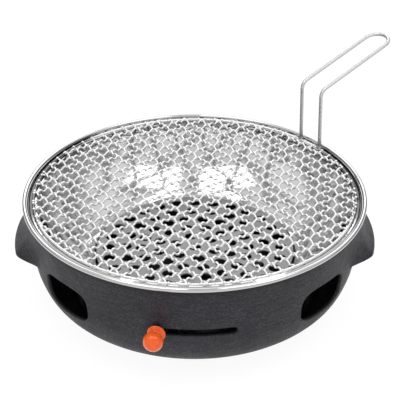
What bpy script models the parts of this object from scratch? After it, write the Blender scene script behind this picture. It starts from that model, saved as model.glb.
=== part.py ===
"""Round tabletop charcoal grill: coated cast casing, steel bowl, woven grate, air damper.

Metres, +Z up. The origin is on the grill's axis, at the flat underside that it stands on.
The front, with the damper knob and its slot, faces -Y, and the two lugs point along +X and -X.
"""

import math

import bmesh
import bpy
import numpy as np
from mathutils import Matrix, Vector

MM = 0.001
GAP = 0.3 * MM  # clearance kept between two solids that touch in the real object

# Overall sizes
RIM_RADIUS = 150 * MM  # outside of the bowl's rolled rim
RIM_Z = 100 * MM  # height of the rim's centre and of the grate

# Casing
CASING_WALL = 3.6 * MM
CASING_TOP_Z = 97.4 * MM
CASING_TOP_RADII = (148.0 * MM, 145.6 * MM)
CASING_HEIGHTS = (0.0, 20 * MM, 40 * MM, 60 * MM, 80 * MM, 100 * MM)
CASING_RADII = (104.2 * MM, 130.8 * MM, 140.7 * MM, 143.6 * MM, 145.8 * MM, 147.9 * MM)
CASING_SEGMENTS = 52
FLANGE_RADIUS = 86 * MM
FLANGE_THICKNESS = 3 * MM

# Lugs: two swellings of the casing's wall
LUG_DEPTH = 15.7 * MM
LUG_HALF_ANGLE = math.radians(21.5)
LUG_DROP = 40 * MM  # from the rim's height down to the lug's lower edge
LUG_UNDERCUT = 2.5 * MM
LUG_PLAN_POWER = 4.5
LUG_FLARE_POWER = 2.3

# Windows and slot
WINDOW_AZIMUTH = math.radians(49.5)
WINDOW_HALF_ANGLE = math.radians(11.4)
WINDOW_Z = 55.4 * MM
WINDOW_HALF_HEIGHT = 16.9 * MM
WINDOW_CORNER = 13 * MM
SLOT_HALF_ANGLE = math.radians(13.1)
SLOT_Z = 56.3 * MM
SLOT_HALF_HEIGHT = 3.4 * MM

# Base plate, heat shield and the four screw stacks
SCREW_CIRCLE = 91.5 * MM
SCREW_AZIMUTHS = tuple(math.radians(a) for a in (45, 135, 225, 315))
SCREW_RADIUS = 2.0 * MM
SCREW_HOLE_RADIUS = 2.3 * MM
SCREW_HEAD_RADIUS = 3.8 * MM
SCREW_HEAD_HEIGHT = 2.2 * MM
SPACER_RADIUS = 4.2 * MM
PLATE_THICKNESS = 1.0 * MM
BASE_RIM_Z = FLANGE_THICKNESS + GAP
BASE_RADIUS = 97 * MM
BASE_FLOOR_RADIUS = 80 * MM
SHIELD_RIM_Z = 10.2 * MM
SHIELD_THICKNESS = 0.8 * MM
SHIELD_RADIUS = 98 * MM
SHIELD_LIP_Z = 14.0 * MM
SHIELD_DISH = 2.2 * MM  # how far the shield's ring-shaped dish lies below its rim

# Bowl
SHEET = 0.8 * MM
BEAD_RADIUS = 1.9 * MM
BOWL_FLOOR_Z = 20 * MM
LEDGE_Z = 98.5 * MM
DIMPLE_RISE = 7 * MM
VENT_COUNT = 8
VENT_RADII = (34 * MM, 62 * MM)
VENT_HALF_ANGLE = math.radians(8.5)

# Charcoal plate
COAL_PLATE_RADIUS = 88.5 * MM
COAL_PLATE_TOP_Z = 43 * MM
COAL_PLATE_THICKNESS = 1.5 * MM
COAL_HOLE_RADIUS = 5.4 * MM
COAL_HOLE_RINGS = (  # ring radius, number of holes, azimuth of the first in degrees
    (0.0, 1, 0.0),
    (18.3 * MM, 6, 41.2),
    (32.9 * MM, 12, 13.1),
    (47.7 * MM, 18, 1.2),
    (62.3 * MM, 21, 7.5),
    (77.7 * MM, 28, 0.0),
)

# Grate
GRATE_RING_RADIUS = 140.3 * MM
GRATE_RING_WIRE = 1.1 * MM
NET_RADIUS = GRATE_RING_RADIUS - GRATE_RING_WIRE - GAP
NET_PITCH = 23.3 * MM  # every second wire of the woven net
NET_BAR = 2.2 * MM
NET_THICKNESS = 1.6 * MM
NET_ANGLE = math.radians(37)
NET_EDGE = 1.8 * MM

# Grate handle
HANDLE_AZIMUTH = math.radians(41)
HANDLE_LEG_RADIUS = 140.6 * MM
HANDLE_HALF_WIDTH = 12.2 * MM
HANDLE_LEG_HEIGHT = 57 * MM
HANDLE_RISE = math.radians(13.9)
HANDLE_REACH = 89.6 * MM
HANDLE_BEND = 8 * MM
HANDLE_WIRE = 1.7 * MM

# Damper
DAMPER_REST = math.radians(-11.8)  # knob's place from the front, about the grill's axis
DISC_Z = 17.4 * MM
DISC_THICKNESS = 1.2 * MM
DISC_RADIUS = 68 * MM
PIVOT_RADIUS = 3.0 * MM
PIVOT_RUNNING = 0.08 * MM
PIVOT_TOP_Z = 24.4 * MM
WASHER_THICKNESS = 0.8 * MM
NUT_CORNER_RADIUS = 5.8 * MM
NUT_HEIGHT = 3.6 * MM
RIVET_RADIUS = 1.8 * MM
RIVET_HEAD_RADIUS = 3.2 * MM
ARM_THICKNESS = 1.5 * MM
ARM_HALF_WIDTH = 5 * MM
ARM_INNER_RADIUS = 22 * MM
ARM_BEND_RADIUS = 102 * MM
ARM_TAB_RADIUS = 134 * MM
ARM_TAB_Z = (50 * MM, 63 * MM)
ARM_RIVET_RADII = (28 * MM, 63 * MM)
KNOB_STEM_RADIUS = 2.7 * MM
KNOB_FLANGE_RADIUS = 7.2 * MM
KNOB_BALL_RADIUS = 8.1 * MM
KNOB_BALL_CENTRE = 162.5 * MM
KNOB_BORE_RADIUS = 1.8 * MM
KNOB_SCREW_RADIUS = 1.5 * MM


def material(name, colour, roughness, metallic):
    mat = bpy.data.materials.new(name)
    mat.use_nodes = True
    shader = mat.node_tree.nodes["Principled BSDF"]
    shader.inputs["Base Color"].default_value = (*colour, 1)
    shader.inputs["Roughness"].default_value = roughness
    shader.inputs["Metallic"].default_value = metallic
    return mat


def empty(name, angle=0.0):
    pivot = bpy.data.objects.new(name, None)
    pivot.rotation_euler[2] = angle
    bpy.context.collection.objects.link(pivot)
    return pivot


def add(name, mesh, mat=None, parent=None):
    obj = bpy.data.objects.new(name, mesh)
    bpy.context.collection.objects.link(obj)
    if mat:
        mesh.materials.append(mat)
    obj.parent = parent
    return obj


def closed_mesh(name, verts, faces):
    """Mesh with its coincident vertices merged and its faces turned outwards."""
    bm = bmesh.new()
    points = [bm.verts.new(v) for v in verts]
    for face in faces:
        bm.faces.new([points[i] for i in face])
    bmesh.ops.remove_doubles(bm, verts=bm.verts, dist=1e-7)
    bmesh.ops.recalc_face_normals(bm, faces=bm.faces)
    mesh = bpy.data.meshes.new(name)
    bm.to_mesh(mesh)
    bm.free()
    mesh.shade_smooth()
    mesh.set_sharp_from_angle(angle=math.radians(35))
    return mesh


def grid_faces(rows, columns, wrap_rows):
    """Quads of a grid of vertices whose columns close on themselves."""
    last = rows if wrap_rows else rows - 1
    faces = []
    for i in range(last):
        for j in range(columns):
            a, b = i * columns + j, i * columns + (j + 1) % columns
            c, d = ((i + 1) % rows) * columns + (j + 1) % columns, ((i + 1) % rows) * columns + j
            faces.append((a, b, c, d))
    return faces


def lathe(name, profile, segments):
    """Solid turned about Z from (radius, z) points: a closed loop, or a line from axis to axis."""
    on_axis = profile[0][0] == 0 and profile[-1][0] == 0
    turns = [math.tau * j / segments for j in range(segments)]
    verts = [(r * math.cos(t), r * math.sin(t), z) for r, z in profile for t in turns]
    return closed_mesh(name, verts, grid_faces(len(profile), segments, not on_axis))


def prism(name, outlines, z0, z1):
    """One or more separate upright prisms, each from a list of (x, y) corners."""
    verts, faces = [], []
    for outline in outlines:
        base, n = len(verts), len(outline)
        verts += [(x, y, z0) for x, y in outline] + [(x, y, z1) for x, y in outline]
        faces.append([base + i for i in range(n)])
        faces.append([base + n + i for i in reversed(range(n))])
        for i in range(n):
            k = (i + 1) % n
            faces.append((base + i, base + n + i, base + n + k, base + k))
    return closed_mesh(name, verts, faces)


def circle(radius, count, centre=(0.0, 0.0), phase=0.0):
    turns = [phase + math.tau * k / count for k in range(count)]
    return [(centre[0] + radius * math.cos(t), centre[1] + radius * math.sin(t)) for t in turns]


def tube(name, path, radius, sides):
    """Round wire carried along a path, closed at both ends."""
    path = [Vector(p) for p in path]
    normal = Vector((0, 0, 1)).cross(path[1] - path[0])
    if normal.length < 1e-9:
        normal = Vector((1, 0, 0))
    rings, verts = len(path), []
    for i, point in enumerate(path):
        tangent = (path[min(i + 1, rings - 1)] - path[max(i - 1, 0)]).normalized()
        normal = (normal - tangent * normal.dot(tangent)).normalized()
        side = tangent.cross(normal)
        for k in range(sides):
            turn = math.tau * k / sides
            verts.append(point + radius * (math.cos(turn) * normal + math.sin(turn) * side))
    faces = grid_faces(rings, sides, False)
    faces += [list(range(sides)), list(reversed(range((rings - 1) * sides, rings * sides)))]
    return closed_mesh(name, verts, faces)


def cut(target, mesh, parent=None):
    """Take a cutter's volume out of a solid."""
    cutter = add(mesh.name, mesh, parent=parent)
    cutter.hide_render = True
    cutter.display_type = "WIRE"
    boolean = target.modifiers.new(mesh.name, "BOOLEAN")
    boolean.operation = "DIFFERENCE"
    boolean.solver = "EXACT"
    boolean.object = cutter


def rounded_span(half_width, half_height, corner, steps=5):
    """Stations across a rounded rectangle: (place across, half height there)."""
    turns = [math.pi / 2 * k / steps for k in range(steps + 1)]
    left = [
        (-half_width + corner * (1 - math.sin(t)), half_height - corner * (1 - math.cos(t)))
        for t in reversed(turns)
    ]
    inner = half_width - corner
    middle = [(inner * k / 3, half_height) for k in (-2, -1, 0, 1, 2)]
    return left + middle + [(-u, h) for u, h in reversed(left)]


def wall_cutter(name, azimuth, half_angle, z, half_height, corner, radii):
    """Radial plug with a rounded outline, centred at an azimuth measured from the front."""
    mid = sum(radii) / 2
    verts, ring = [], 4
    spans = rounded_span(half_angle * mid, half_height, corner)
    for u, h in spans:
        turn = azimuth + u / mid - math.pi / 2
        for r, dz in ((radii[0], -h), (radii[1], -h), (radii[1], h), (radii[0], h)):
            verts.append((r * math.cos(turn), r * math.sin(turn), z + dz))
    count = len(spans)
    faces = grid_faces(count, ring, False)
    faces += [tuple(range(ring)), tuple(reversed(range((count - 1) * ring, count * ring)))]
    return closed_mesh(name, verts, faces)


def casing_radius(z):
    """Outer radius of the casing's wall at a height, away from the lugs."""
    x, y = np.array(CASING_HEIGHTS), np.array(CASING_RADII)
    slope = np.gradient(y, x)
    i = int(np.clip(np.searchsorted(x, z) - 1, 0, len(x) - 2))
    step = x[i + 1] - x[i]
    t = (z - x[i]) / step
    return float(
        (2 * t**3 - 3 * t**2 + 1) * y[i]
        + (t**3 - 2 * t**2 + t) * step * slope[i]
        + (3 * t**2 - 2 * t**3) * y[i + 1]
        + (t**3 - t**2) * step * slope[i + 1]
    )


def lug(azimuth, z):
    """How far a lug stands out of the wall, at an azimuth from +X and a height."""
    away = abs(math.remainder(azimuth, math.pi)) / LUG_HALF_ANGLE
    drop = RIM_Z - z
    if away >= 1 or drop <= 0 or drop >= LUG_DROP + LUG_UNDERCUT:
        return 0.0
    plan = (1 - away**LUG_PLAN_POWER) ** (1 / LUG_PLAN_POWER)
    flare = min(drop / LUG_DROP, 1) ** LUG_FLARE_POWER
    under = max(drop - LUG_DROP, 0) / LUG_UNDERCUT
    return LUG_DEPTH * plan * flare * math.sqrt(1 - under**2)


def casing_azimuths():
    """Azimuths of the casing's seams, closer together over the lugs' ends."""
    even = [math.tau * k / CASING_SEGMENTS for k in range(CASING_SEGMENTS)]
    near = [LUG_HALF_ANGLE * k for k in (0.86, 0.95, 1.0)]
    ends = [(s * n + c) % math.tau for c in (0, math.pi) for s in (-1, 1) for n in near]
    kept = [a for a in even if all(abs(math.remainder(a - e, math.tau)) > 0.012 for e in ends)]
    return sorted(kept + ends)


def build_casing(mat):
    edge = RIM_Z - LUG_DROP
    outer_z = [0.0, 1.5, 8, 16, 26, 38, 50]
    outer_z = [z * MM for z in outer_z] + [edge - LUG_UNDERCUT, edge - 0.6 * LUG_UNDERCUT, edge]
    outer_z += [z * MM for z in (68, 78, 88)] + [CASING_TOP_Z]
    inner_z = [z * MM for z in (84, 60, 40, 26, 14)]
    turns = casing_azimuths()
    rows = []
    for z in outer_z:
        taper = min(z / (1.5 * MM), 1) * 1.2 * MM - 1.2 * MM
        rows.append([(casing_radius(z) + taper + lug(t, z), z) for t in turns])
    rows[-1] = [(CASING_TOP_RADII[0], CASING_TOP_Z)] * len(turns)
    rows.append([(CASING_TOP_RADII[1], CASING_TOP_Z)] * len(turns))
    for z in inner_z:
        lean = (casing_radius(z + MM) - casing_radius(z)) / MM
        wall = CASING_WALL * math.hypot(1, lean)
        limit = CASING_TOP_RADII[1] - 0.5 * MM
        rows.append([(min(casing_radius(z) - wall, limit), z)] * len(turns))
    foot = rows[-1][0][0]
    rows.append([(foot - 3 * MM, FLANGE_THICKNESS)] * len(turns))
    rows.append([(FLANGE_RADIUS, FLANGE_THICKNESS)] * len(turns))
    rows.append([(FLANGE_RADIUS, 0.0)] * len(turns))
    verts = [
        (r * math.cos(t), r * math.sin(t), z) for row in rows for (r, z), t in zip(row, turns)
    ]
    mesh = closed_mesh("casing", verts, grid_faces(len(rows), len(turns), True))
    casing = add("casing", mesh, mat)
    reach = (120 * MM, 165 * MM)
    for i, azimuth in enumerate((-1, 1, -1, 1)):
        turn = azimuth * WINDOW_AZIMUTH + (math.pi if i > 1 else 0)
        window = wall_cutter(
            f"cut_window_{i + 1}", turn, WINDOW_HALF_ANGLE, WINDOW_Z, WINDOW_HALF_HEIGHT,
            WINDOW_CORNER, reach,
        )
        cut(casing, window)
    slot = wall_cutter(
        "cut_slot", 0.0, SLOT_HALF_ANGLE, SLOT_Z, SLOT_HALF_HEIGHT, SLOT_HALF_HEIGHT * 0.95, reach
    )
    cut(casing, slot)
    holes = [
        circle(SCREW_HOLE_RADIUS, 12, polar(SCREW_CIRCLE, azimuth)) for azimuth in SCREW_AZIMUTHS
    ]
    cut(casing, prism("cut_flange_holes", holes, -MM, FLANGE_THICKNESS + MM))


def polar(radius, azimuth):
    return (radius * math.cos(azimuth), radius * math.sin(azimuth))


def build_base(steel, zinc):
    base_top = BASE_RIM_Z + PLATE_THICKNESS
    profile = [
        (0, 0), (BASE_FLOOR_RADIUS + 0.6 * MM, 0), (85.2 * MM, BASE_RIM_Z), (BASE_RADIUS, BASE_RIM_Z),
        (BASE_RADIUS, base_top), (84.6 * MM, base_top), (BASE_FLOOR_RADIUS, PLATE_THICKNESS),
        (0, PLATE_THICKNESS),
    ]
    holes = [circle(SCREW_HOLE_RADIUS, 12, polar(SCREW_CIRCLE, a)) for a in SCREW_AZIMUTHS]
    base = add("base_plate", lathe("base_plate", profile, 32), steel)
    cut(base, prism("cut_base_holes", holes, -MM, 8 * MM))

    z, t = SHIELD_RIM_Z, SHIELD_THICKNESS
    dish = z - SHIELD_DISH
    profile = [
        (0, z), (24 * MM, z), (30 * MM, dish), (80 * MM, dish), (85 * MM, z),
        (SHIELD_RADIUS, z), (SHIELD_RADIUS, SHIELD_LIP_Z), (SHIELD_RADIUS - t, SHIELD_LIP_Z),
        (SHIELD_RADIUS - t, z + t), (84.6 * MM, z + t), (79.6 * MM, dish + t),
        (30.4 * MM, dish + t), (24.4 * MM, z + t), (0, z + t),
    ]
    shield = add("heat_shield", lathe("heat_shield", profile, 32), steel)
    centre = [circle(PIVOT_RADIUS + GAP, 16)]
    cut(shield, prism("cut_shield_holes", holes + centre, z - 4 * MM, z + 2 * MM))

    head = z + t + GAP
    for i, azimuth in enumerate(SCREW_AZIMUTHS):
        place = (*polar(SCREW_CIRCLE, azimuth), 0)
        sleeve = [
            (SPACER_RADIUS, base_top + GAP), (SPACER_RADIUS, z - GAP),
            (SCREW_HOLE_RADIUS, z - GAP), (SCREW_HOLE_RADIUS, base_top + GAP),
        ]
        name = f"shield_spacer_{i + 1}"
        add(name, lathe(name, sleeve, 12), zinc).location = place
        screw = [
            (0, 0.6 * MM), (SCREW_RADIUS, 0.6 * MM), (SCREW_RADIUS, head),
            (SCREW_HEAD_RADIUS, head), (SCREW_HEAD_RADIUS * 0.96, head + 0.6 * SCREW_HEAD_HEIGHT),
            (SCREW_HEAD_RADIUS * 0.7, head + SCREW_HEAD_HEIGHT), (0, head + SCREW_HEAD_HEIGHT),
        ]
        name = f"base_screw_{i + 1}"
        add(name, lathe(name, screw, 12), zinc).location = place


def vent_outlines(count, radii, half_angle, azimuth):
    """Ring of sector openings, the first one centred at an azimuth."""
    outlines = []
    for k in range(count):
        centre = azimuth + math.tau * k / count
        turns = [centre + half_angle * s / 3 for s in range(-3, 4)]
        outer = [polar(radii[1], t) for t in turns]
        outlines.append(outer + [polar(radii[0], t) for t in reversed(turns)])
    return outlines


def bowl_inner_profile():
    """Inside surface of the bowl from the rim's inner side down to its centre."""
    floor = BOWL_FLOOR_Z
    return [
        (144.2 * MM, RIM_Z), (144.0 * MM, LEDGE_Z), (137.4 * MM, LEDGE_Z), (135.4 * MM, 94.5 * MM),
        (128 * MM, 80 * MM), (117 * MM, 66 * MM), (103 * MM, 54 * MM), (89.8 * MM, 42 * MM),
        (82 * MM, 30 * MM), (75 * MM, floor), (24 * MM, floor),
        (17.5 * MM, floor + DIMPLE_RISE), (0, floor + DIMPLE_RISE),
    ]


def offset_profile(profile, distance):
    """The same line moved sideways, away from the bowl's inside."""
    points = np.array(profile)
    ahead = np.vstack([points[1:], points[-1:]]) - np.vstack([points[:1], points[:-1]])
    ahead /= np.linalg.norm(ahead, axis=1)[:, None]
    moved = points + distance * np.stack([-ahead[:, 1], ahead[:, 0]], axis=1)
    moved[-1, 0] = 0
    return [tuple(p) for p in moved]


def build_bowl(mat, lift):
    inner = bowl_inner_profile()
    outer = offset_profile(inner, SHEET)
    centre = RIM_RADIUS - BEAD_RADIUS
    bead = [
        (centre + BEAD_RADIUS * math.cos(a), RIM_Z + BEAD_RADIUS * math.sin(a))
        for a in (math.radians(d) for d in range(-144, 181, 36))
    ]
    outer[0] = (outer[0][0], RIM_Z - 0.6 * MM)
    inner[0] = (inner[0][0] + 0.6 * MM, RIM_Z + 0.4 * MM)
    profile = list(reversed(outer)) + bead + inner
    bowl = add("bowl", lathe("bowl", profile, 48), mat, lift)
    first = DAMPER_REST - math.pi / 2 + math.pi / VENT_COUNT
    vents = vent_outlines(VENT_COUNT, VENT_RADII, VENT_HALF_ANGLE, first)
    cut(bowl, prism("cut_bowl_vents", vents, BOWL_FLOOR_Z - 3 * MM, BOWL_FLOOR_Z + 3 * MM), lift)


def build_coal_plate(mat, lift):
    top, bottom = COAL_PLATE_TOP_Z, COAL_PLATE_TOP_Z - COAL_PLATE_THICKNESS
    plate = prism("charcoal_plate", [circle(COAL_PLATE_RADIUS, 48)], bottom, top)
    plate = add("charcoal_plate", plate, mat, lift)
    holes = []
    for radius, count, first in COAL_HOLE_RINGS:
        for k in range(count):
            turn = math.radians(first) + math.tau * k / count
            holes.append(circle(COAL_HOLE_RADIUS, 6, polar(radius, turn), turn))
    cut(plate, prism("cut_coal_holes", holes, bottom - MM, top + MM), lift)


def clip_to_circle(outline, radius, sides=48):
    """Convex outline cut down to the part of it inside a circle."""
    for k in range(sides):
        turn = math.tau * (k + 0.5) / sides
        nx, ny = math.cos(turn), math.sin(turn)
        kept = []
        for i, (x, y) in enumerate(outline):
            px, py = outline[i - 1]
            here, before = x * nx + y * ny - radius, px * nx + py * ny - radius
            if (here > 0) != (before > 0):
                t = before / (before - here)
                kept.append((px + t * (x - px), py + t * (y - py)))
            if here <= 0:
                kept.append((x, y))
        outline = kept
        if len(outline) < 3:
            return []
    return outline


def area(outline):
    pairs = zip(outline, outline[1:] + outline[:1])
    return abs(sum(x0 * y1 - x1 * y0 for (x0, y0), (x1, y1) in pairs)) / 2


def build_grate(steel, chrome, lift):
    ring = [
        (GRATE_RING_RADIUS + GRATE_RING_WIRE * math.cos(a), RIM_Z + GRATE_RING_WIRE * math.sin(a))
        for a in (math.tau * k / 6 for k in range(6))
    ]
    add("grate_ring", lathe("grate_ring", ring, 56), steel, lift)

    half = (NET_PITCH - NET_BAR) / 2
    reach = math.ceil(NET_RADIUS / NET_PITCH)
    openings = []
    for i in range(-reach, reach):
        for j in range(-reach, reach):
            cx, cy = (i + 0.5) * NET_PITCH, (j + 0.5) * NET_PITCH
            corners = [
                Matrix.Rotation(NET_ANGLE, 2) @ Vector((cx + sx * half, cy + sy * half))
                for sx, sy in ((-1, -1), (1, -1), (1, 1), (-1, 1))
            ]
            cell = clip_to_circle([tuple(c) for c in corners], NET_RADIUS - NET_EDGE)
            if cell and area(cell) > (4 * MM) ** 2:
                openings.append(cell)
    low, high = RIM_Z - NET_THICKNESS / 2, RIM_Z + NET_THICKNESS / 2
    net = add("grate_net", prism("grate_net", [circle(NET_RADIUS, 56)], low, high), steel, lift)
    cut(net, prism("cut_net_cells", openings, low - MM, high + MM), lift)

    handle = tube("grate_handle", handle_path(), HANDLE_WIRE, 8)
    add("grate_handle", handle, chrome, lift)


def rounded_corner(before, corner, after, radius, steps=5):
    """Points of an arc that rounds the corner between two straight runs."""
    a, b = (before - corner).normalized(), (after - corner).normalized()
    half = a.angle(b) / 2
    centre = corner + (a + b).normalized() * radius / math.sin(half)
    start, end = corner + a * radius / math.tan(half), corner + b * radius / math.tan(half)
    points = []
    for k in range(steps + 1):
        spoke = (start - centre).normalized().slerp((end - centre).normalized(), k / steps)
        points.append(centre + radius * spoke)
    return points


def handle_path():
    """Centre line of the wire: up one leg, out along the grip, round its end and back."""
    out = Vector((*polar(1, HANDLE_AZIMUTH), 0))
    side = Vector((-out.y, out.x, 0))
    grip = (out * math.cos(HANDLE_RISE) + Vector((0, 0, math.sin(HANDLE_RISE)))).normalized()
    leg = out * HANDLE_LEG_RADIUS
    foot_z = RIM_Z + GRATE_RING_WIRE + GAP
    foot = leg + side * HANDLE_HALF_WIDTH + Vector((0, 0, foot_z))
    knee = leg + side * HANDLE_HALF_WIDTH + Vector((0, 0, RIM_Z + HANDLE_LEG_HEIGHT))
    end = knee + grip * HANDLE_REACH
    run = [foot] + rounded_corner(foot, knee, end, HANDLE_BEND)
    turn_centre = end - side * HANDLE_HALF_WIDTH
    loop = [
        turn_centre + HANDLE_HALF_WIDTH * (math.cos(a) * side + math.sin(a) * grip)
        for a in (math.pi * k / 12 for k in range(13))
    ]
    back = [p - 2 * side.dot(p - leg) * side for p in reversed(run)]
    return run + loop + back


def build_pivot(zinc):
    z = SHIELD_RIM_Z
    profile = [
        (0, z - SHIELD_DISH), (6 * MM, z - SHIELD_DISH), (6 * MM, z - GAP), (PIVOT_RADIUS, z - GAP),
        (PIVOT_RADIUS, z + SHIELD_THICKNESS + GAP), (6.5 * MM, z + SHIELD_THICKNESS + GAP),
        (6.5 * MM, DISC_Z - GAP), (PIVOT_RADIUS, DISC_Z - GAP), (PIVOT_RADIUS, PIVOT_TOP_Z),
        (0, PIVOT_TOP_Z),
    ]
    add("pivot_stud", lathe("pivot_stud", profile, 32), zinc)
    top = DISC_Z + DISC_THICKNESS + GAP
    washer = [
        (7 * MM, top), (7 * MM, top + WASHER_THICKNESS), (PIVOT_RADIUS + GAP, top + WASHER_THICKNESS),
        (PIVOT_RADIUS + GAP, top),
    ]
    add("pivot_washer", lathe("pivot_washer", washer, 24), zinc)
    low = top + WASHER_THICKNESS + GAP
    body = prism("pivot_nut", [circle(NUT_CORNER_RADIUS, 6)], low, low + NUT_HEIGHT)
    nut = add("pivot_nut", body, zinc)
    bore = circle(PIVOT_RADIUS + GAP, 24)
    cut(nut, prism("cut_nut_bore", [bore], low - MM, low + NUT_HEIGHT + MM))


def arm_centre_line():
    """(radius, z) points along the middle of the damper arm's strip."""
    under = DISC_Z - GAP - ARM_THICKNESS / 2
    return [
        (ARM_INNER_RADIUS, under), (ARM_BEND_RADIUS, under), (ARM_TAB_RADIUS, ARM_TAB_Z[0]),
        (ARM_TAB_RADIUS, ARM_TAB_Z[1]),
    ]


def build_damper(steel, zinc, fibre, orange, pivot):
    low, high = DISC_Z, DISC_Z + DISC_THICKNESS
    bore = circle(PIVOT_RADIUS + PIVOT_RUNNING, 32)
    disc = add("damper_disc", prism("damper_disc", [circle(DISC_RADIUS, 40)], low, high), steel, pivot)
    first = -math.pi / 2 + math.pi / VENT_COUNT
    openings = vent_outlines(VENT_COUNT, VENT_RADII, VENT_HALF_ANGLE, first)
    rivets = [(0, -r) for r in ARM_RIVET_RADII]
    holes = [circle(RIVET_RADIUS + GAP, 12, place) for place in rivets]
    cut(disc, prism("cut_disc_openings", openings + holes + [bore], low - MM, high + MM), pivot)

    line = arm_centre_line()
    t = ARM_THICKNESS / 2
    above, below = offset_profile(line, t), offset_profile(line, -t)
    ends = [(line[-1][0] - t, line[-1][1]), (line[-1][0] + t, line[-1][1])]
    section = above[:-1] + ends + below[-2::-1]
    verts = [(x, -r, z) for x in (-ARM_HALF_WIDTH, ARM_HALF_WIDTH) for r, z in section]
    n = len(section)
    faces = [list(range(n)), [n + i for i in reversed(range(n))]]
    faces += [(i, n + i, n + (i + 1) % n, (i + 1) % n) for i in range(n)]
    arm = add("damper_arm", closed_mesh("damper_arm", verts, faces), steel, pivot)
    cut(arm, prism("cut_arm_rivets", holes, low - 4 * MM, low + MM), pivot)
    reach, bore = 4 * MM, KNOB_BORE_RADIUS
    drill = lathe("cut_arm_tab", [(0, -reach), (bore, -reach), (bore, reach), (0, reach)], 12)
    drill.transform(radial(ARM_TAB_RADIUS))
    cut(arm, drill, pivot)

    head = low - GAP - ARM_THICKNESS
    for i, radius in enumerate(ARM_RIVET_RADII):
        profile = [
            (0, head - 1.2 * MM), (2.0 * MM, head - 1.1 * MM), (RIVET_HEAD_RADIUS, head - GAP),
            (RIVET_RADIUS, head - GAP), (RIVET_RADIUS, high), (0, high),
        ]
        rivet = lathe(f"arm_rivet_{i + 1}", profile, 12)
        rivet.transform(Matrix.Translation((0, -radius, 0)))
        add(f"arm_rivet_{i + 1}", rivet, zinc, pivot)
    build_knob(zinc, fibre, orange, pivot)


def radial(radius):
    """Turns +Z to point out of the front and moves it to a radius at the knob's height."""
    return Matrix.Translation((0, -radius, SLOT_Z)) @ Matrix.Rotation(math.pi / 2, 4, "X")


def build_knob(zinc, fibre, orange, pivot):
    tab = ARM_TAB_RADIUS
    t = ARM_THICKNESS / 2
    washer_low = t + GAP
    stem_low = washer_low + MM + GAP
    flange = (11.4 * MM, 14.2 * MM)
    ball = KNOB_BALL_CENTRE - tab
    bore_end = 14.5 * MM
    profile = [
        (KNOB_BORE_RADIUS, stem_low), (KNOB_STEM_RADIUS, stem_low), (KNOB_STEM_RADIUS, flange[0]),
        (KNOB_FLANGE_RADIUS - 0.8 * MM, flange[0]), (KNOB_FLANGE_RADIUS, flange[0] + 1.0 * MM),
        (KNOB_FLANGE_RADIUS - 0.3 * MM, flange[1] - 0.6 * MM),
        (KNOB_FLANGE_RADIUS - 1.6 * MM, flange[1]), (3.9 * MM, flange[1] + 1.8 * MM),
        (3.6 * MM, flange[1] + 4 * MM),
    ]
    low = -math.acos(4.2 * MM / KNOB_BALL_RADIUS)
    for k in range(9):
        a = low + (math.pi / 2 - low) * k / 8
        profile.append((KNOB_BALL_RADIUS * math.cos(a), ball + KNOB_BALL_RADIUS * math.sin(a)))
    profile[-1] = (0, ball + KNOB_BALL_RADIUS)
    profile = [(0, bore_end), (KNOB_BORE_RADIUS, bore_end)] + profile
    knob = lathe("knob", profile, 16)
    knob.transform(radial(tab))
    add("knob", knob, orange, pivot)

    washer = [
        (4.5 * MM, washer_low), (4.5 * MM, washer_low + MM), (KNOB_BORE_RADIUS, washer_low + MM),
        (KNOB_BORE_RADIUS, washer_low),
    ]
    washer = lathe("knob_washer", washer, 16)
    washer.transform(radial(tab))
    add("knob_washer", washer, fibre, pivot)

    head = -t - GAP
    screw = [
        (0, head - 2.0 * MM), (2.2 * MM, head - 1.9 * MM), (2.9 * MM, head - 1.0 * MM),
        (2.9 * MM, head), (KNOB_SCREW_RADIUS, head), (KNOB_SCREW_RADIUS, bore_end - 2 * MM),
        (0, bore_end - 1.2 * MM),
    ]
    screw = lathe("knob_screw", screw, 12)
    screw.transform(radial(tab))
    add("knob_screw", screw, zinc, pivot)


def main():
    for obj in list(bpy.data.objects):
        bpy.data.objects.remove(obj)
    coating = material("graphite_coating", (0.055, 0.053, 0.058), 0.55, 0.3)
    steel = material("stainless_steel", (0.72, 0.72, 0.72), 0.2, 1.0)
    sheet = material("galvanised_sheet", (0.45, 0.46, 0.47), 0.4, 1.0)
    coal = material("charcoal_plate_steel", (0.42, 0.42, 0.42), 0.45, 0.9)
    chrome = material("chromed_wire", (0.75, 0.75, 0.76), 0.12, 1.0)
    zinc = material("zinc_plated_steel", (0.55, 0.55, 0.56), 0.35, 1.0)
    fibre = material("fibre_washer", (0.12, 0.1, 0.09), 0.8, 0.0)
    orange = material("orange_knob", (0.8, 0.09, 0.02), 0.25, 0.0)

    build_casing(coating)
    build_base(sheet, zinc)
    build_pivot(zinc)
    build_damper(sheet, zinc, fibre, orange, empty("damper_pivot", DAMPER_REST))
    build_bowl(steel, empty("bowl_lift"))
    build_coal_plate(coal, empty("plate_lift"))
    build_grate(steel, chrome, empty("grate_lift"))


main()
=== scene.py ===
"""Round tabletop charcoal grill: the finished surfaces, materials, studio and camera.

Laid out as an add-on, with one operator for each piece or group of like pieces. All lengths are
metres. The grill stands on z = 0 with its axis on the world's Z axis and its front facing -Y.
"""

import math

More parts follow.
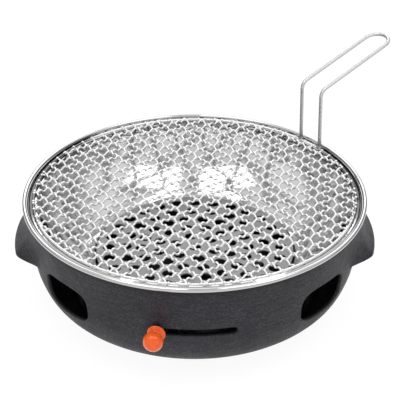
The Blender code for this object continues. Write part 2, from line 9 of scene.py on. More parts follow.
import bmesh
import bpy
import numpy as np
from bpy.props import FloatProperty, FloatVectorProperty, PointerProperty
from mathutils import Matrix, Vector


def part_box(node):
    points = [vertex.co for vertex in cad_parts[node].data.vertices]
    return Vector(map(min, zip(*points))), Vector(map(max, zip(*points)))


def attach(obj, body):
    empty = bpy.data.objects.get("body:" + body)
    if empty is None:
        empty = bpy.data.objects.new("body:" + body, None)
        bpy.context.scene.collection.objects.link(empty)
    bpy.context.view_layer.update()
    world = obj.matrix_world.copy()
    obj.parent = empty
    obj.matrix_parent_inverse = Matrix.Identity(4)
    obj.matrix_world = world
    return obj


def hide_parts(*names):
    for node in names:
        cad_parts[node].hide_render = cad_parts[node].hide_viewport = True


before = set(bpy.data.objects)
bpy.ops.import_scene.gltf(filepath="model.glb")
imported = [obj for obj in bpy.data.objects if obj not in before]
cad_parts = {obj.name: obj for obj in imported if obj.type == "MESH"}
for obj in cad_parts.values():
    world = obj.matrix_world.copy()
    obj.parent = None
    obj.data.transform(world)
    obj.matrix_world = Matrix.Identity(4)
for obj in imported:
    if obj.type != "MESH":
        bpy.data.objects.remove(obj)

bl_info = {
    "name": "Tabletop charcoal grill",
    "version": (1, 0, 0),
    "blender": (4, 5, 0),
    "location": "View3D > Sidebar > Grill",
    "description": "Builds a round tabletop charcoal grill around its engineering model",
    "category": "Add Mesh",
}

MM = 0.001
WELD = 2e-8  # points closer than this are one point
NEAR = 1e-6  # slack for comparing angles
TAU = math.tau

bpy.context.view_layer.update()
RIM_Z = (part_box("grate_net")[0].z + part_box("grate_net")[1].z) / 2
RIM_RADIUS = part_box("bowl")[1].x
FRONT = math.radians(-90)
UP = np.array([0.0, 0.0, 1.0])
GAP = 0.3 * MM  # between pieces that touch


# ---------------------------------------------------------------- sizes and colours


def length(name, text, default):
    return FloatProperty(name=name, description=text, default=default, unit="LENGTH", min=0.0)


def turn(name, text, degrees):
    return FloatProperty(
        name=name, description=text, default=math.radians(degrees), subtype="ANGLE"
    )


def colour(name, text, default):
    return FloatVectorProperty(
        name=name, description=text, default=default, subtype="COLOR", size=3, min=0, max=1
    )


class GrillSizes(bpy.types.PropertyGroup):
    casing_wall: length("Casing wall", "Thickness of the cast wall", 3.6 * MM)
    casing_edge: length("Casing edge", "Rounding of the casing's cut edges", 1.3 * MM)
    lug_depth: length("Lug depth", "How far a lug stands out of the wall", 15.7 * MM)
    window_z: length("Window height", "Height of the windows' centres", 54.3 * MM)
    slot_z: length("Slot height", "Height of the damper slot's centre", 55.2 * MM)
    sheet: length("Bowl sheet", "Thickness of the bowl's steel", 0.8 * MM)
    bead: length("Rim bead", "Radius of the rolled rim", 1.9 * MM)
    plate_hole: length("Plate hole", "Radius of the charcoal plate's holes", 5.4 * MM)
    net_pitch: length("Net pitch", "Distance from one net wire to the next", 11.655 * MM)
    net_wire: length("Net wire", "Radius of the net's wire", 0.92 * MM)
    net_crimp: length("Net crimp", "Rise and fall of the wires' fine waves", 1.1 * MM)
    net_angle: turn("Net angle", "Direction of the first set of wires, from +X", 37.0)
    handle_wire: length("Handle wire", "Radius of the handle's wire", 1.7 * MM)


class GrillColours(bpy.types.PropertyGroup):
    coating: colour("Coating", "Graphite coating of the casing", (0.0085, 0.0076, 0.0115))
    coating_fleck: colour("Coating fleck", "Paler flecks in the coating", (0.075, 0.073, 0.08))
    bowl_steel: colour("Bowl steel", "Polished steel of the bowl", (0.68, 0.68, 0.68))
    plate_steel: colour("Plate steel", "Matt steel of the charcoal plate", (0.30, 0.30, 0.30))
    wire: colour("Wire", "Bright plating of the grate", (0.82, 0.82, 0.82))
    sheet_steel: colour("Sheet steel", "Galvanised sheet under the bowl", (0.45, 0.46, 0.47))
    zinc: colour("Zinc", "Zinc plating of the screws", (0.60, 0.59, 0.55))
    knob: colour("Knob", "Orange plastic of the knob", (0.88, 0.13, 0.018))


def sizes():
    return bpy.context.scene.grill_sizes


def colours():
    return bpy.context.scene.grill_colours


# ---------------------------------------------------------------- shader expressions


class Term:
    """A socket in a finish, so that shader maths reads as an expression."""

    def __init__(self, finish, socket):
        self.finish, self.socket = finish, socket

    def maths(self, operation, other):
        return self.finish.node("ShaderNodeMath", {"operation": operation}, {0: self, 1: other})

    def __add__(self, other):
        return self.maths("ADD", other)

    def __sub__(self, other):
        return self.maths("SUBTRACT", other)

    def __mul__(self, other):
        return self.maths("MULTIPLY", other)

    def __pow__(self, other):
        return self.maths("POWER", other)

    def ramp(self, low, high, start=0.0, end=1.0):
        """Goes smoothly from start to end as this value goes from low to high."""
        settings = {"interpolation_type": "SMOOTHSTEP", "clamp": True}
        values = {0: self, 1: low, 2: high, 3: start, 4: end}
        return self.finish.node("ShaderNodeMapRange", settings, values)


    def band(self, start, full, wane, end):
        """One from full to wane, and smoothly down to nothing at start and at end."""
        return self.ramp(start, full) * self.ramp(wane, end, 1.0, 0.0)


class Nodes:
    """A node tree being made."""

    def __init__(self, tree):
        self.tree = tree

    def node(self, kind, settings, values, output=0):
        """Any node: its settings are set first, then its sockets' values or links."""
        made = self.tree.nodes.new(kind)
        for key, value in settings.items():
            setattr(made, key, value)
        for key, value in values.items():
            socket = made.inputs[key]
            if isinstance(value, Term):
                self.tree.links.new(value.socket, socket)
            else:
                socket.default_value = (*value, 1) if socket.type == "RGBA" else value
        return Term(self, made.outputs[output])


class Finish(Nodes):
    """A material being made, with the patterns that the grill's finishes share."""

    def __init__(self, name):
        self.material = bpy.data.materials.new("finish_" + name)
        self.material.use_nodes = True
        super().__init__(self.material.node_tree)
        self.tree.nodes.clear()
        self.place = self.node("ShaderNodeTexCoord", {}, {}, "Object")

    def noise(self, scale, detail=3.0, roughness=0.5, vector=None):
        values = {"Vector": vector or self.place, "Scale": scale, "Detail": detail}
        return self.node("ShaderNodeTexNoise", {}, {**values, "Roughness": roughness}, "Fac")

    def cells(self, scale, output="Distance"):
        values = {"Vector": self.place, "Scale": scale}
        return self.node("ShaderNodeTexVoronoi", {"feature": "F1"}, values, output)

    def stretched(self, scale):
        """Object coordinates with each axis multiplied by its own scale."""
        return self.node("ShaderNodeMapping", {}, {"Vector": self.place, "Scale": scale})

    def axis(self, letter):
        return self.node("ShaderNodeSeparateXYZ", {}, {0: self.place}, letter)

    def radius(self):
        """Distance from the grill's axis."""
        return (self.axis("X") ** 2.0 + self.axis("Y") ** 2.0) ** 0.5

    def sides(self):
        """Mask for painted dark reflection: one along the rim's left and right, where it meets the dark of
        the room; else nothing.
        """
        across = self.axis("X") - 10 * MM
        beside = (across * across).ramp((98 * MM) ** 2, (116 * MM) ** 2)
        return beside * self.axis("Y").ramp(-70 * MM, -25 * MM)

    def blend(self, factor, first, second):
        """Colour that goes from first to second as factor goes from 0 to 1."""
        return self.node("ShaderNodeMix", {"data_type": "RGBA"}, {0: factor, 6: first, 7: second}, 2)

    def bump(self, height, distance, strength=1.0):
        values = {"Height": height, "Distance": distance, "Strength": strength}
        return self.node("ShaderNodeBump", {}, values)

    def surface(self, **values):
        """Ends the finish with its Principled shader."""
        named = {key.replace("_", " "): value for key, value in values.items()}
        shader = self.node("ShaderNodeBsdfPrincipled", {}, named)
        out = self.tree.nodes.new("ShaderNodeOutputMaterial")
        self.tree.links.new(shader.socket, out.inputs["Surface"])
        return self.material


def grey(value):
    return (value, value, value)


def dimmed(tone, share):
    return tuple(share * part for part in tone)


def graphite_coating(f):
    """Dark stone-look coating: a fine pebbled skin with paler flecks, rubbed a little smoother, with
    painted shade inside the windows' band and painted shadow at the foot and under the rim.
    """
    fleck = f.noise(620.0, 3.0, 0.7).ramp(0.48, 0.66)
    dust = f.cells(310.0).ramp(0.04, 0.2, 1.0, 0.0)
    cloud = f.noise(42.0, 4.0, 0.55)
    pebble = f.noise(480.0, 4.0, 0.6)
    streak = f.noise(110.0, 4.0, 0.62, f.stretched((1.0, 1.0, 3.2))).ramp(0.42, 0.68)
    height = f.axis("Z")
    low, high = BAND[0] + 3.4 * MM, BAND[1] - 4.4 * MM
    skin = f.radius() - height.ramp(low, high, float(wall_radius(low)), float(wall_radius(high)))
    # Painted shade: in the windows' band, surfaces more than 1.8 mm inside the outer skin (the wall's
    # inside and the holes' deeper cut faces) are painted near-black and rougher.
    inner_wall_shade = height.band(low, low + MM, high - MM, high) * skin.ramp(-1.8 * MM, -0.6 * MM, 1.0, 0.0)
    # Painted shadow: darker towards the foot, where the casing meets the floor, and towards the top, under
    # the bowl's rim.
    foot_and_rim_shadow = height.ramp(0.5 * MM, 7 * MM, 0.85, 0.0) + height.ramp(92 * MM, 96 * MM, 0.0, 0.6)
    tone = f.blend(fleck * 0.6 + dust * 0.3, colours().coating, colours().coating_fleck)
    tone = f.blend(cloud.ramp(0.35, 0.7) * 0.4, tone, (0.018, 0.0165, 0.0225))
    tone = f.blend(streak * 0.5, tone, (0.038, 0.035, 0.045))
    tone = f.blend(foot_and_rim_shadow, tone, (0.003, 0.003, 0.0035))
    tone = f.blend(inner_wall_shade * 0.9, tone, (0.001, 0.001, 0.0012))
    return f.surface(
        Base_Color=tone, Metallic=0.0, Specular_IOR_Level=0.3,
        Roughness=cloud.ramp(0.3, 0.75, 0.5, 0.62) - fleck * 0.08 + inner_wall_shade * 0.4,
        Normal=f.bump(pebble + fleck * 0.4 + streak * 0.5, 0.6 * MM, 0.7),
    )


def polished_steel(f):
    """Spun stainless sheet: bright, with turning lines and smears, painted shade under the plate, and
    painted dark reflection and painted shade in bands near the ledge.
    """
    height, radius = f.axis("Z"), f.radius()
    spin = f.node("ShaderNodeCombineXYZ", {}, {"X": radius, "Y": height, "Z": 0.0})
    lines = f.noise(2600.0, 2.0, 0.5, spin)
    smear = f.noise(28.0, 4.0, 0.6)
    # Painted shade: the steel below the charcoal plate is painted near-black and rougher.
    under_plate_shade = height.ramp(PLATE_TOP_Z - 3.5 * MM, PLATE_TOP_Z - MM, 1.0, 0.0)
    # Painted dark bands near the ledge: a painted dark reflection in the groove along the rim's left and
    # right, painted shade in the crease where the bead leaves the ledge, and painted shade on the wall
    # under the net's edge, stronger towards the back.
    groove_dark_reflection = radius.band(140.6 * MM, 141.6 * MM, 145.6 * MM, 146.4 * MM) * f.sides() * 0.92
    seam_shade = radius.band(144.2 * MM, 144.7 * MM, 145.4 * MM, 146.2 * MM) * 0.3
    brow_shade = radius.band(133.5 * MM, 136.5 * MM, 138.5 * MM, 139.5 * MM)
    brow_shade = brow_shade * f.axis("Y").ramp(-40 * MM, 60 * MM, 0.1, 0.6)
    dark = height.ramp(LEDGE_Z - 6 * MM, LEDGE_Z - 4 * MM) * (groove_dark_reflection + seam_shade + brow_shade)
    tone = f.blend(smear.ramp(0.35, 0.7) * 0.35, colours().bowl_steel, grey(0.56))
    tone = f.blend(under_plate_shade, tone, grey(0.012))
    tone = f.blend(radius.ramp(146.4 * MM, 147.2 * MM) * 0.7, tone, grey(0.50))
    tone = f.blend(dark.ramp(0.0, 0.95, 0.0, 0.95), tone, grey(0.03))
    return f.surface(
        Base_Color=tone, Metallic=1.0,
        Roughness=smear.ramp(0.3, 0.75, 0.03, 0.08) + lines * 0.03 + under_plate_shade * 0.4,
        Normal=f.bump(lines + smear * 0.6, 0.02 * MM, 0.25),
    )


def plate_steel(f):
    """Matt charcoal plate: a drab grey sheet with fine grain and light scuffs."""
    grain = f.noise(1300.0, 3.0, 0.6)
    cloud = f.noise(36.0, 4.0, 0.6)
    scuff = f.noise(240.0, 2.0, 0.7).ramp(0.6, 0.72)
    tone = f.blend(cloud.ramp(0.3, 0.7) * 0.5, colours().plate_steel, grey(0.36))
    return f.surface(
        Base_Color=f.blend(scuff * 0.25, tone, grey(0.45)), Metallic=0.75,
        Roughness=cloud.ramp(0.3, 0.7, 0.42, 0.55) + grain * 0.06,
        Normal=f.bump(grain, 0.05 * MM, 0.4),
    )


def grate_wire(f, shade=1.0, metal=0.45, weld_heights=None):
    """Bright plated wire: near-white metal with slight dimples, with a painted dark reflection on the edge
    ring and the wires' ends along the rim's left and right.
    """
    cloud = f.noise(160.0, 3.0, 0.5)
    bright = dimmed(colours().wire, shade)
    tone = f.blend(cloud.ramp(0.4, 0.7) * 0.3, bright, dimmed(bright, 0.86))
    rough = cloud.ramp(0.3, 0.7, 0.26, 0.34)
    # Painted dark reflection: the edge ring's lower side and the wires' ends go near-black along the rim's
    # left and right.
    low = f.axis("Z").ramp(RIM_Z + MM, RIM_Z + 1.25 * MM, 1.0, 0.0)
    edge = f.radius().ramp(138.9 * MM, 139.3 * MM) * low
    tone = f.blend(edge * f.sides() * 0.92, tone, grey(0.03))
    if weld_heights:
        # Painted highlight: lighter where the wire faces front and up, painted shade on its flanks.
        lit_facing = f.node("ShaderNodeAttribute", {"attribute_name": "lit_facing"}, {}, "Fac").ramp(0.3, 0.85)
        tone = f.blend(lit_facing, dimmed(bright, 0.6), tone)
        tint = f.axis("Z").ramp(*weld_heights, 1.0, 0.0)
        patch = f.noise(420.0, 3.0, 0.6).ramp(0.3, 0.6)
        tone = f.blend(tint * patch * 0.85, tone, (0.14, 0.125, 0.11))
        rough = rough + tint * 0.25
    dimple = f.bump(f.noise(900.0, 2.0, 0.5), 0.02 * MM, 0.15)
    return f.surface(Base_Color=tone, Metallic=metal, Roughness=rough, Normal=dimple)


def chromed_wire(f):
    """The handle's wire: duller, painted lighter where it faces front and up and darker on its flanks,
    heat-tinted by its welds.
    """
    return grate_wire(f, 0.74, 0.7, (RIM_Z + 3 * MM, RIM_Z + 13 * MM))


def spangled_sheet(f):
    """Galvanised sheet: grey crystals of slightly different tone, with a fine grain."""
    shade = f.node("ShaderNodeRGBToBW", {}, {"Color": f.cells(160.0, "Color")})
    grain = f.noise(1600.0, 2.0, 0.5)
    sheet = colours().sheet_steel
    return f.surface(
        Base_Color=f.blend(shade, dimmed(sheet, 0.8), sheet), Metallic=1.0,
        Roughness=shade.ramp(0.0, 1.0, 0.3, 0.48) + grain * 0.05,
        Normal=f.bump(grain, 0.03 * MM, 0.3),
    )


def brushed_strip(f):
    """Brushed strip and sheet of the damper: fine straight scratches along it."""
    lines = f.noise(1.0, 3.0, 0.6, f.stretched((1800.0, 60.0, 1800.0)))
    cloud = f.noise(60.0, 3.0, 0.5)
    return f.surface(
        Base_Color=f.blend(lines * 0.5, grey(0.50), grey(0.62)), Metallic=1.0,
        Roughness=cloud.ramp(0.3, 0.7, 0.26, 0.38) + lines * 0.08,
        Normal=f.bump(lines, 0.02 * MM, 0.4),
    )


def zinc_plating(f):
    """Zinc-plated fasteners: pale grey with faint yellow and blue bloom."""
    bloom = f.noise(300.0, 3.0, 0.55)
    grain = f.noise(2200.0, 2.0, 0.5)
    tone = f.blend(bloom.ramp(0.35, 0.65), colours().zinc, (0.52, 0.55, 0.60))
    return f.surface(
        Base_Color=tone, Metallic=1.0, Roughness=bloom.ramp(0.3, 0.7, 0.28, 0.4),
        Normal=f.bump(grain, 0.02 * MM, 0.3),
    )


def dark_fibre(f):
    """Pressed fibre washer: dull brown-black with matted strands."""
    strand = f.noise(1400.0, 5.0, 0.7)
    return f.surface(
        Base_Color=f.blend(strand.ramp(0.4, 0.65), (0.10, 0.08, 0.07), (0.17, 0.14, 0.11)),
        Roughness=strand.ramp(0.3, 0.7, 0.75, 0.9), Normal=f.bump(strand, 0.06 * MM, 0.6),
    )


def orange_plastic(f):
    """Glossy orange plastic with a slight cloudiness and a soft moulded ripple."""
    cloud = f.noise(220.0, 3.0, 0.5)
    tone = f.blend(cloud.ramp(0.35, 0.7) * 0.6, colours().knob, (0.70, 0.075, 0.01))
    return f.surface(
        Base_Color=tone, Roughness=cloud.ramp(0.3, 0.7, 0.16, 0.26), Metallic=0.0,
        Coat_Weight=0.15, Specular_IOR_Level=0.3, Subsurface_Weight=0.08, Subsurface_Scale=0.004,
        Normal=f.bump(f.noise(160.0, 1.0, 0.4), 0.1 * MM, 0.25),
    )


MAKERS = {
    "graphite_coating": graphite_coating, "stainless_steel": polished_steel,
    "charcoal_plate_steel": plate_steel, "grate_wire": grate_wire, "chromed_wire": chromed_wire,
    "galvanised_sheet": spangled_sheet, "damper_steel": brushed_strip,
    "zinc_plated_steel": zinc_plating, "fibre_washer": dark_fibre, "orange_knob": orange_plastic,
}


def finish_for(slot):
    """The finish of a material slot, made once."""
    return bpy.data.materials.get("finish_" + slot) or MAKERS[slot](Finish(slot))


# ---------------------------------------------------------------- surfaces


def quads(rows, columns, wrap_rows=False):
    """Corner numbers of the faces between neighbouring points of a grid whose rows are rings."""
    i = np.arange(rows if wrap_rows else rows - 1)[:, None]
    j = np.arange(columns)[None, :]
    i2, j2 = (i + 1) % rows, (j + 1) % columns
    corners = [i * columns + j, i * columns + j2, i2 * columns + j2, i2 * columns + j]
    return np.stack(np.broadcast_arrays(*corners), axis=-1)


def meshed(grid, wrap_rows=False, kept=True):
    """A grid's points and faces, without the faces that kept leaves out."""
    faces = quads(*grid.shape[:2], wrap_rows)
    return grid.reshape(-1, 3), faces[np.broadcast_to(kept, faces.shape[:2])]


def cap(first, count):
    """Triangles that fan from a ring's first point, as quads with their last corner twice."""
    k = np.arange(1, count - 1)
    return np.stack([np.full_like(k, first), first + k, first + k + 1, first + k + 1], axis=-1)


def gather(parts):
    """Joins (points, faces) pairs into one pair, with the faces renumbered."""
    points, faces, base = [], [], 0
    for p, f in parts:
        p = np.asarray(p, float).reshape(-1, 3)
        points.append(p)
        faces.append(np.asarray(f, int).reshape(-1, 4) + base)
        base += len(p)
    return np.vstack(points), np.vstack(faces)


def weld(points, faces):
    """Merges points that coincide, and drops a quad's repeated corners."""
    keys = np.round(points / WELD + 0.237).astype(np.int64)
    _, first, back = np.unique(keys, axis=0, return_index=True, return_inverse=True)
    faces = back.reshape(-1)[faces]
    keep = faces != np.roll(faces, -1, axis=1)
    sides = keep.sum(axis=1)
    good = sides >= 3
    return points[first], faces[good][keep[good]], sides[good]


def make_piece(name, parts, slot, body, stands_for=(), sharp=40.0):
    """Mesh object from surfaces: welded, faces outwards, smooth, on its body and in its slot."""
    points, loops, sides = weld(*gather(parts))
    mesh = bpy.data.meshes.new(name)
    mesh.vertices.add(len(points))
    mesh.vertices.foreach_set("co", points.astype(np.float32).ravel())
    mesh.loops.add(len(loops))
    mesh.loops.foreach_set("vertex_index", loops.astype(np.int32))
    mesh.polygons.add(len(sides))
    starts = np.concatenate([[0], np.cumsum(sides)[:-1]])
    mesh.polygons.foreach_set("loop_start", starts.astype(np.int32))
    mesh.update(calc_edges=True)
    mesh.validate()
    bm = bmesh.new()
    bm.from_mesh(mesh)
    bmesh.ops.recalc_face_normals(bm, faces=bm.faces)
    bm.to_mesh(mesh)
    bm.free()
    mesh.shade_smooth()
    if sharp:
        mesh.set_sharp_from_angle(angle=math.radians(sharp))
    mesh.materials.append(finish_for(slot))
    piece = bpy.data.objects.new(name, mesh)
    bpy.context.scene.collection.objects.link(piece)
    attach(piece, body)
    if stands_for:
        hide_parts(*stands_for)
    return piece


def even_shading(piece):
    """Flat faces stay flat to the eye beside their rounded edges."""
    weighted = piece.modifiers.new("even_shading", "WEIGHTED_NORMAL")
    weighted.keep_sharp = True
    weighted.weight = 90


def rounded_line(corners, radii, steps=4, closed=True):
    """Outline with each corner replaced by an arc of its own radius.

    The arc touches both sides at radius / tan(half the corner's angle) from the corner.
    """
    corners = np.asarray(corners, float)
    count, out = len(corners), []
    for k in range(count):
        here, radius = corners[k], radii[k] if np.ndim(radii) else radii
        ends = not closed and k in (0, count - 1)
        if ends or radius == 0:
            out.append(here[None])
            continue
        a, b = corners[k - 1] - here, corners[(k + 1) % count] - here
        a, b = a / np.linalg.norm(a), b / np.linalg.norm(b)
        half = math.acos(np.clip(a @ b, -1, 1)) / 2
        centre = here + (a + b) / np.linalg.norm(a + b) * radius / math.sin(half)
        start, end = here + a * radius / math.tan(half), here + b * radius / math.tan(half)
        s0 = math.atan2(*(start - centre)[::-1])
        s1 = s0 + math.remainder(math.atan2(*(end - centre)[::-1]) - s0, TAU)
        arc = np.linspace(s0, s1, steps + 1)[:, None]
        out.append(centre + radius * np.hstack([np.cos(arc), np.sin(arc)]))
    return np.vstack(out)


def turned(profile, around, closed=True, axis_point=(0.0, 0.0)):
    """Surface of revolution: x = r cos t, y = r sin t and z = z, for each (r, z) and angle t.

    around is the number of even angles, or the angles themselves.
    """
    profile = np.asarray(profile, float)
    t = np.arange(around) * TAU / around if np.ndim(around) == 0 else around
    r, z = profile[:, :1], profile[:, 1:]
    x, y = axis_point[0] + r * np.cos(t), axis_point[1] + r * np.sin(t)
    return meshed(np.stack([x, y, np.broadcast_to(z, x.shape)], axis=-1), closed)


def level_directions(azimuth):
    """The direction away from the axis at an azimuth, and the one to its left."""
    out = np.array([math.cos(azimuth), math.sin(azimuth), 0.0])
    return out, np.array([-out[1], out[0], 0.0])


def to_radial(points, azimuth, radius, height):
    """Points built about +Z are laid so that +Z points away from the axis at an azimuth."""
    out, side = level_directions(azimuth)
    x, y, z = points[:, :1], points[:, 1:2], points[:, 2:]
    return side * x + UP * (y + height) + out * (z + radius)


def carried(path, normal, outline):
    """Outline (u, v) carried along a path: point = path + u * normal + v * binormal."""
    ahead = np.gradient(path, axis=0)
    ahead /= np.linalg.norm(ahead, axis=1)[:, None]
    normal = normal - ahead * np.sum(normal * ahead, axis=1)[:, None]
    normal /= np.linalg.norm(normal, axis=1)[:, None]
    across = np.cross(ahead, normal)
    u, v = outline[:, 0][None, :, None], outline[:, 1][None, :, None]
    points = path[:, None] + u * normal[:, None] + v * across[:, None]
    rows, columns = points.shape[:2]
    points, faces = meshed(points)
    return points, np.vstack([faces, cap(0, columns), cap((rows - 1) * columns, columns)])


def ring_outline(radius, around):
    """Circle of points; around is their number or their angles."""
    t = np.arange(around) * TAU / around if np.ndim(around) == 0 else around
    return radius * np.stack([np.cos(t), np.sin(t)], axis=-1)


def border(a, b):
    """Points round the edge of a rectangle whose sides are sampled by a and b."""
    ax = np.concatenate([a[:-1], np.full(len(b) - 1, a[-1]), a[:0:-1], np.full(len(b) - 1, a[0])])
    bx = np.concatenate([np.full(len(a) - 1, b[0]), b[:-1], np.full(len(a) - 1, b[-1]), b[:0:-1]])
    return ax, bx


def superellipse(power, skew=0.0):
    """Outline (u, v) / (|u|^n + |v|^n)^(1/n) from points on the edge of the unit square.

    skew moves it along b, in proportion to u.
    """

    def outline(u, v, size):
        reach = (np.abs(u) ** power + np.abs(v) ** power) ** (1 / power)
        return u / reach * size[0], v / reach * size[1] + skew * u / reach

    return outline


def slot_outline(per_length):
    """Straight sides and half-round ends: an end's angle follows v, a side's place follows u.

    per_length turns a length along b into the same length along a.
    """

    def outline(u, v, size):
        round_a = size[1] * per_length
        end = np.abs(u) > 1 - 1e-9
        middle = size[0] - round_a
        x = np.where(end, np.sign(u) * (middle + round_a * np.cos(v * math.pi / 2)), u * middle)
        return x, np.where(end, size[1] * np.sin(v * math.pi / 2), v * size[1])

    return outline


def pierced(surface, a, b, hole, outline, edge, rings=6, rolls=4, centre_b=None):
    """Part of a wall with a rounded hole through it.

    The rectangle a x b is mapped to the square |u|, |v| <= 1, and each point of its edge to the
    hole's outline. Rings run from the edge to the outline, roll over a quarter circle into the
    hole, cross the wall and come out the same way. surface(a, b, depth) gives a point, with
    depth 0 on the outside and 1 on the inside. hole holds the half sizes along a and b, and
    edge the rolled edge's radius in units of a, of b and of depth.
    """
    pa, pb = border(np.asarray(a), np.asarray(b))
    ca, cb = (a[0] + a[-1]) / 2, (b[0] + b[-1]) / 2
    u, v = (pa - ca) / abs(a[-1] - ca), (pb - cb) / abs(b[-1] - cb)
    cb = cb if centre_b is None else centre_b
    reach = np.linspace(0, 1, rings + 1)
    roll = np.linspace(0, math.pi / 2, rolls + 1)
    blend = np.concatenate([reach, np.ones(rolls)])
    wide = np.concatenate([np.ones(rings + 1), 1 - np.sin(roll[1:])])
    deep = np.concatenate([np.zeros(rings + 1), (1 - np.cos(roll[1:])) * edge[2]])
    blend, wide = np.concatenate([blend, blend[::-1]]), np.concatenate([wide, wide[::-1]])
    deep = np.concatenate([deep, 1 - deep[::-1]])
    size = hole[0] + edge[0] * wide[:, None], hole[1] + edge[1] * wide[:, None]
    to_a, to_b = outline(u, v, size)
    ga = pa + blend[:, None] * (ca + to_a - pa)
    gb = pb + blend[:, None] * (cb + to_b - pb)
    return meshed(surface(ga, gb, np.broadcast_to(deep[:, None], ga.shape)))


# ---------------------------------------------------------------- casing

WALL_HEIGHTS = np.array([0.0, 20, 40, 60, 80, 100]) * MM
WALL_RADII = np.array([104.2, 130.8, 140.7, 143.6, 145.8, 147.9]) * MM
CASING_TOP_Z = 97.4 * MM
FLANGE_RADIUS = 86 * MM
FLANGE_TOP_Z = 3 * MM
LUG_HALF_ANGLE = math.radians(21.5)
LUG_DROP = 40 * MM
LUG_UNDERCUT = 2.5 * MM
LUG_FADE = (0.62, 1.16)  # start and end of a lug's fall, in half angles
LUG_FLARE_POWER = 2.3
WINDOW_AZIMUTH = 48.6
WINDOW_SKEW = -1.3 * MM  # how much lower a window's outer end sits than its middle
WINDOW_ZONE = 16.0
WINDOW_HALF_ANGLE = math.radians(11.0)
WINDOW_HALF_HEIGHT = 16.2 * MM
SLOT_ZONE = 17.0
SLOT_HALF_ANGLE = math.radians(14.0)
SLOT_HALF_HEIGHT = 3.4 * MM
SLOT_EDGE = 0.7 * MM
WALL_REACH = 143 * MM  # the wall's mean radius, for turning lengths into angles
INNER_LOW_Z = 9.5 * MM  # where the wall's inside begins
BAND = (33.4 * MM, 77.4 * MM)
SCREW_CIRCLE = 91.5 * MM
SCREW_HOLE = 2.3 * MM
SCREW_AZIMUTHS = np.radians([45.0, 135.0, 225.0, 315.0])
DAMPER_REST = math.radians(-11.8)  # the damper's place at rest, from the front


def wall_radius(z):
    """Outer radius of the wall at a height: cubic Hermite curves through the given radii."""
    x, y = WALL_HEIGHTS, WALL_RADII
    slope = np.gradient(y, x)
    i = np.clip(np.searchsorted(x, z) - 1, 0, len(x) - 2)
    step = x[i + 1] - x[i]
    t = (z - x[i]) / step
    return (
        (2 * t**3 - 3 * t**2 + 1) * y[i]
        + (t**3 - 2 * t**2 + t) * step * slope[i]
        + (3 * t**2 - 2 * t**3) * y[i + 1]
        + (t**3 - t**2) * step * slope[i + 1]
    )


def wall_thickness(z):
    """Level thickness of the wall: its true thickness divided by the cosine of its lean."""
    lean = (wall_radius(z + MM) - wall_radius(z)) / MM
    return sizes().casing_wall * np.hypot(1, lean)


def lug(from_front, z):
    """Height of a lug above the wall, from the angle from the front and the height z.

    Depth times a plan curve that falls smoothly as 3 t^2 - 2 t^3 at the lug's ends, times a
    flare that grows as a power of the drop below the rim, times a quarter ellipse that closes
    the lower edge.
    """
    away = np.abs(np.abs(from_front) - math.pi / 2) / LUG_HALF_ANGLE
    t = np.clip((LUG_FADE[1] - away) / (LUG_FADE[1] - LUG_FADE[0]), 0, 1)
    plan = 3 * t**2 - 2 * t**3
    drop = np.clip(RIM_Z - z, 0, None)
    flare = np.clip(drop / LUG_DROP, 0, 1) ** LUG_FLARE_POWER
    under = np.clip((drop - LUG_DROP) / LUG_UNDERCUT, 0, 1)
    return sizes().lug_depth * plan * flare * np.sqrt(1 - under**2)


def round_place(from_front, r, z):
    """Point at an angle from the front, towards +X, at a radius and a height."""
    z = np.broadcast_to(z, np.broadcast(from_front, r, z).shape)
    return np.stack([r * np.sin(from_front), -r * np.cos(from_front), z], axis=-1)


def spun(section, angles):
    """Grid of a section's (radius, z) points at each of the angles from the front."""
    section = np.asarray(section)
    return round_place(angles, section[:, :1], section[:, 1:])


def wall_place(from_front, z, depth):
    """Point of the casing's wall: depth 0 is its outside and 1 its inside."""
    r = wall_radius(z) - depth * wall_thickness(z) + (1 - depth) * lug(from_front, z)
    return round_place(from_front, r, z)


def flange_place(from_front, r, depth):
    """Point of the casing's bottom flange: depth 0 is its underside and 1 its top."""
    return round_place(from_front, r, depth * FLANGE_TOP_Z)


def casing_columns():
    """Angles from the front of the casing's columns, in degrees, with its zones' edges."""
    window = (WINDOW_AZIMUTH - WINDOW_ZONE, WINDOW_AZIMUTH + WINDOW_ZONE)
    lug_in = window[1] + 0.6
    ends = np.linspace(lug_in, 90, 25)
    right = np.concatenate([
        np.linspace(0, SLOT_ZONE, 13)[:-1], np.linspace(SLOT_ZONE, window[0], 8)[:-1],
        np.linspace(*window, 21)[:-1], [window[1]], ends,
        180 - ends[-2::-1], [180 - window[1]],
        np.linspace(180 - window[1], 180 - window[0], 21)[1:],
        np.linspace(180 - window[0], 180, 16)[1:-1],
    ])
    return np.radians(np.concatenate([right, [180.0], -right[:0:-1]]))


def casing_heights():
    """Heights down the wall: above the windows' band, through it, and below it."""
    drop = LUG_DROP + LUG_UNDERCUT * np.sin(np.radians([0, 25, 50, 70, 82, 90]))
    lug_edge = RIM_Z - drop
    above, below = np.linspace(BAND[1], lug_edge[0], 10), np.linspace(lug_edge[-1], BAND[0], 9)
    upper = np.linspace(CASING_TOP_Z - 2.5 * MM, BAND[1], 8)
    lower = np.linspace(BAND[0], 3 * MM, 12)
    return upper[:-1], np.concatenate([above[:-1], lug_edge, below[1:]]), lower[1:]


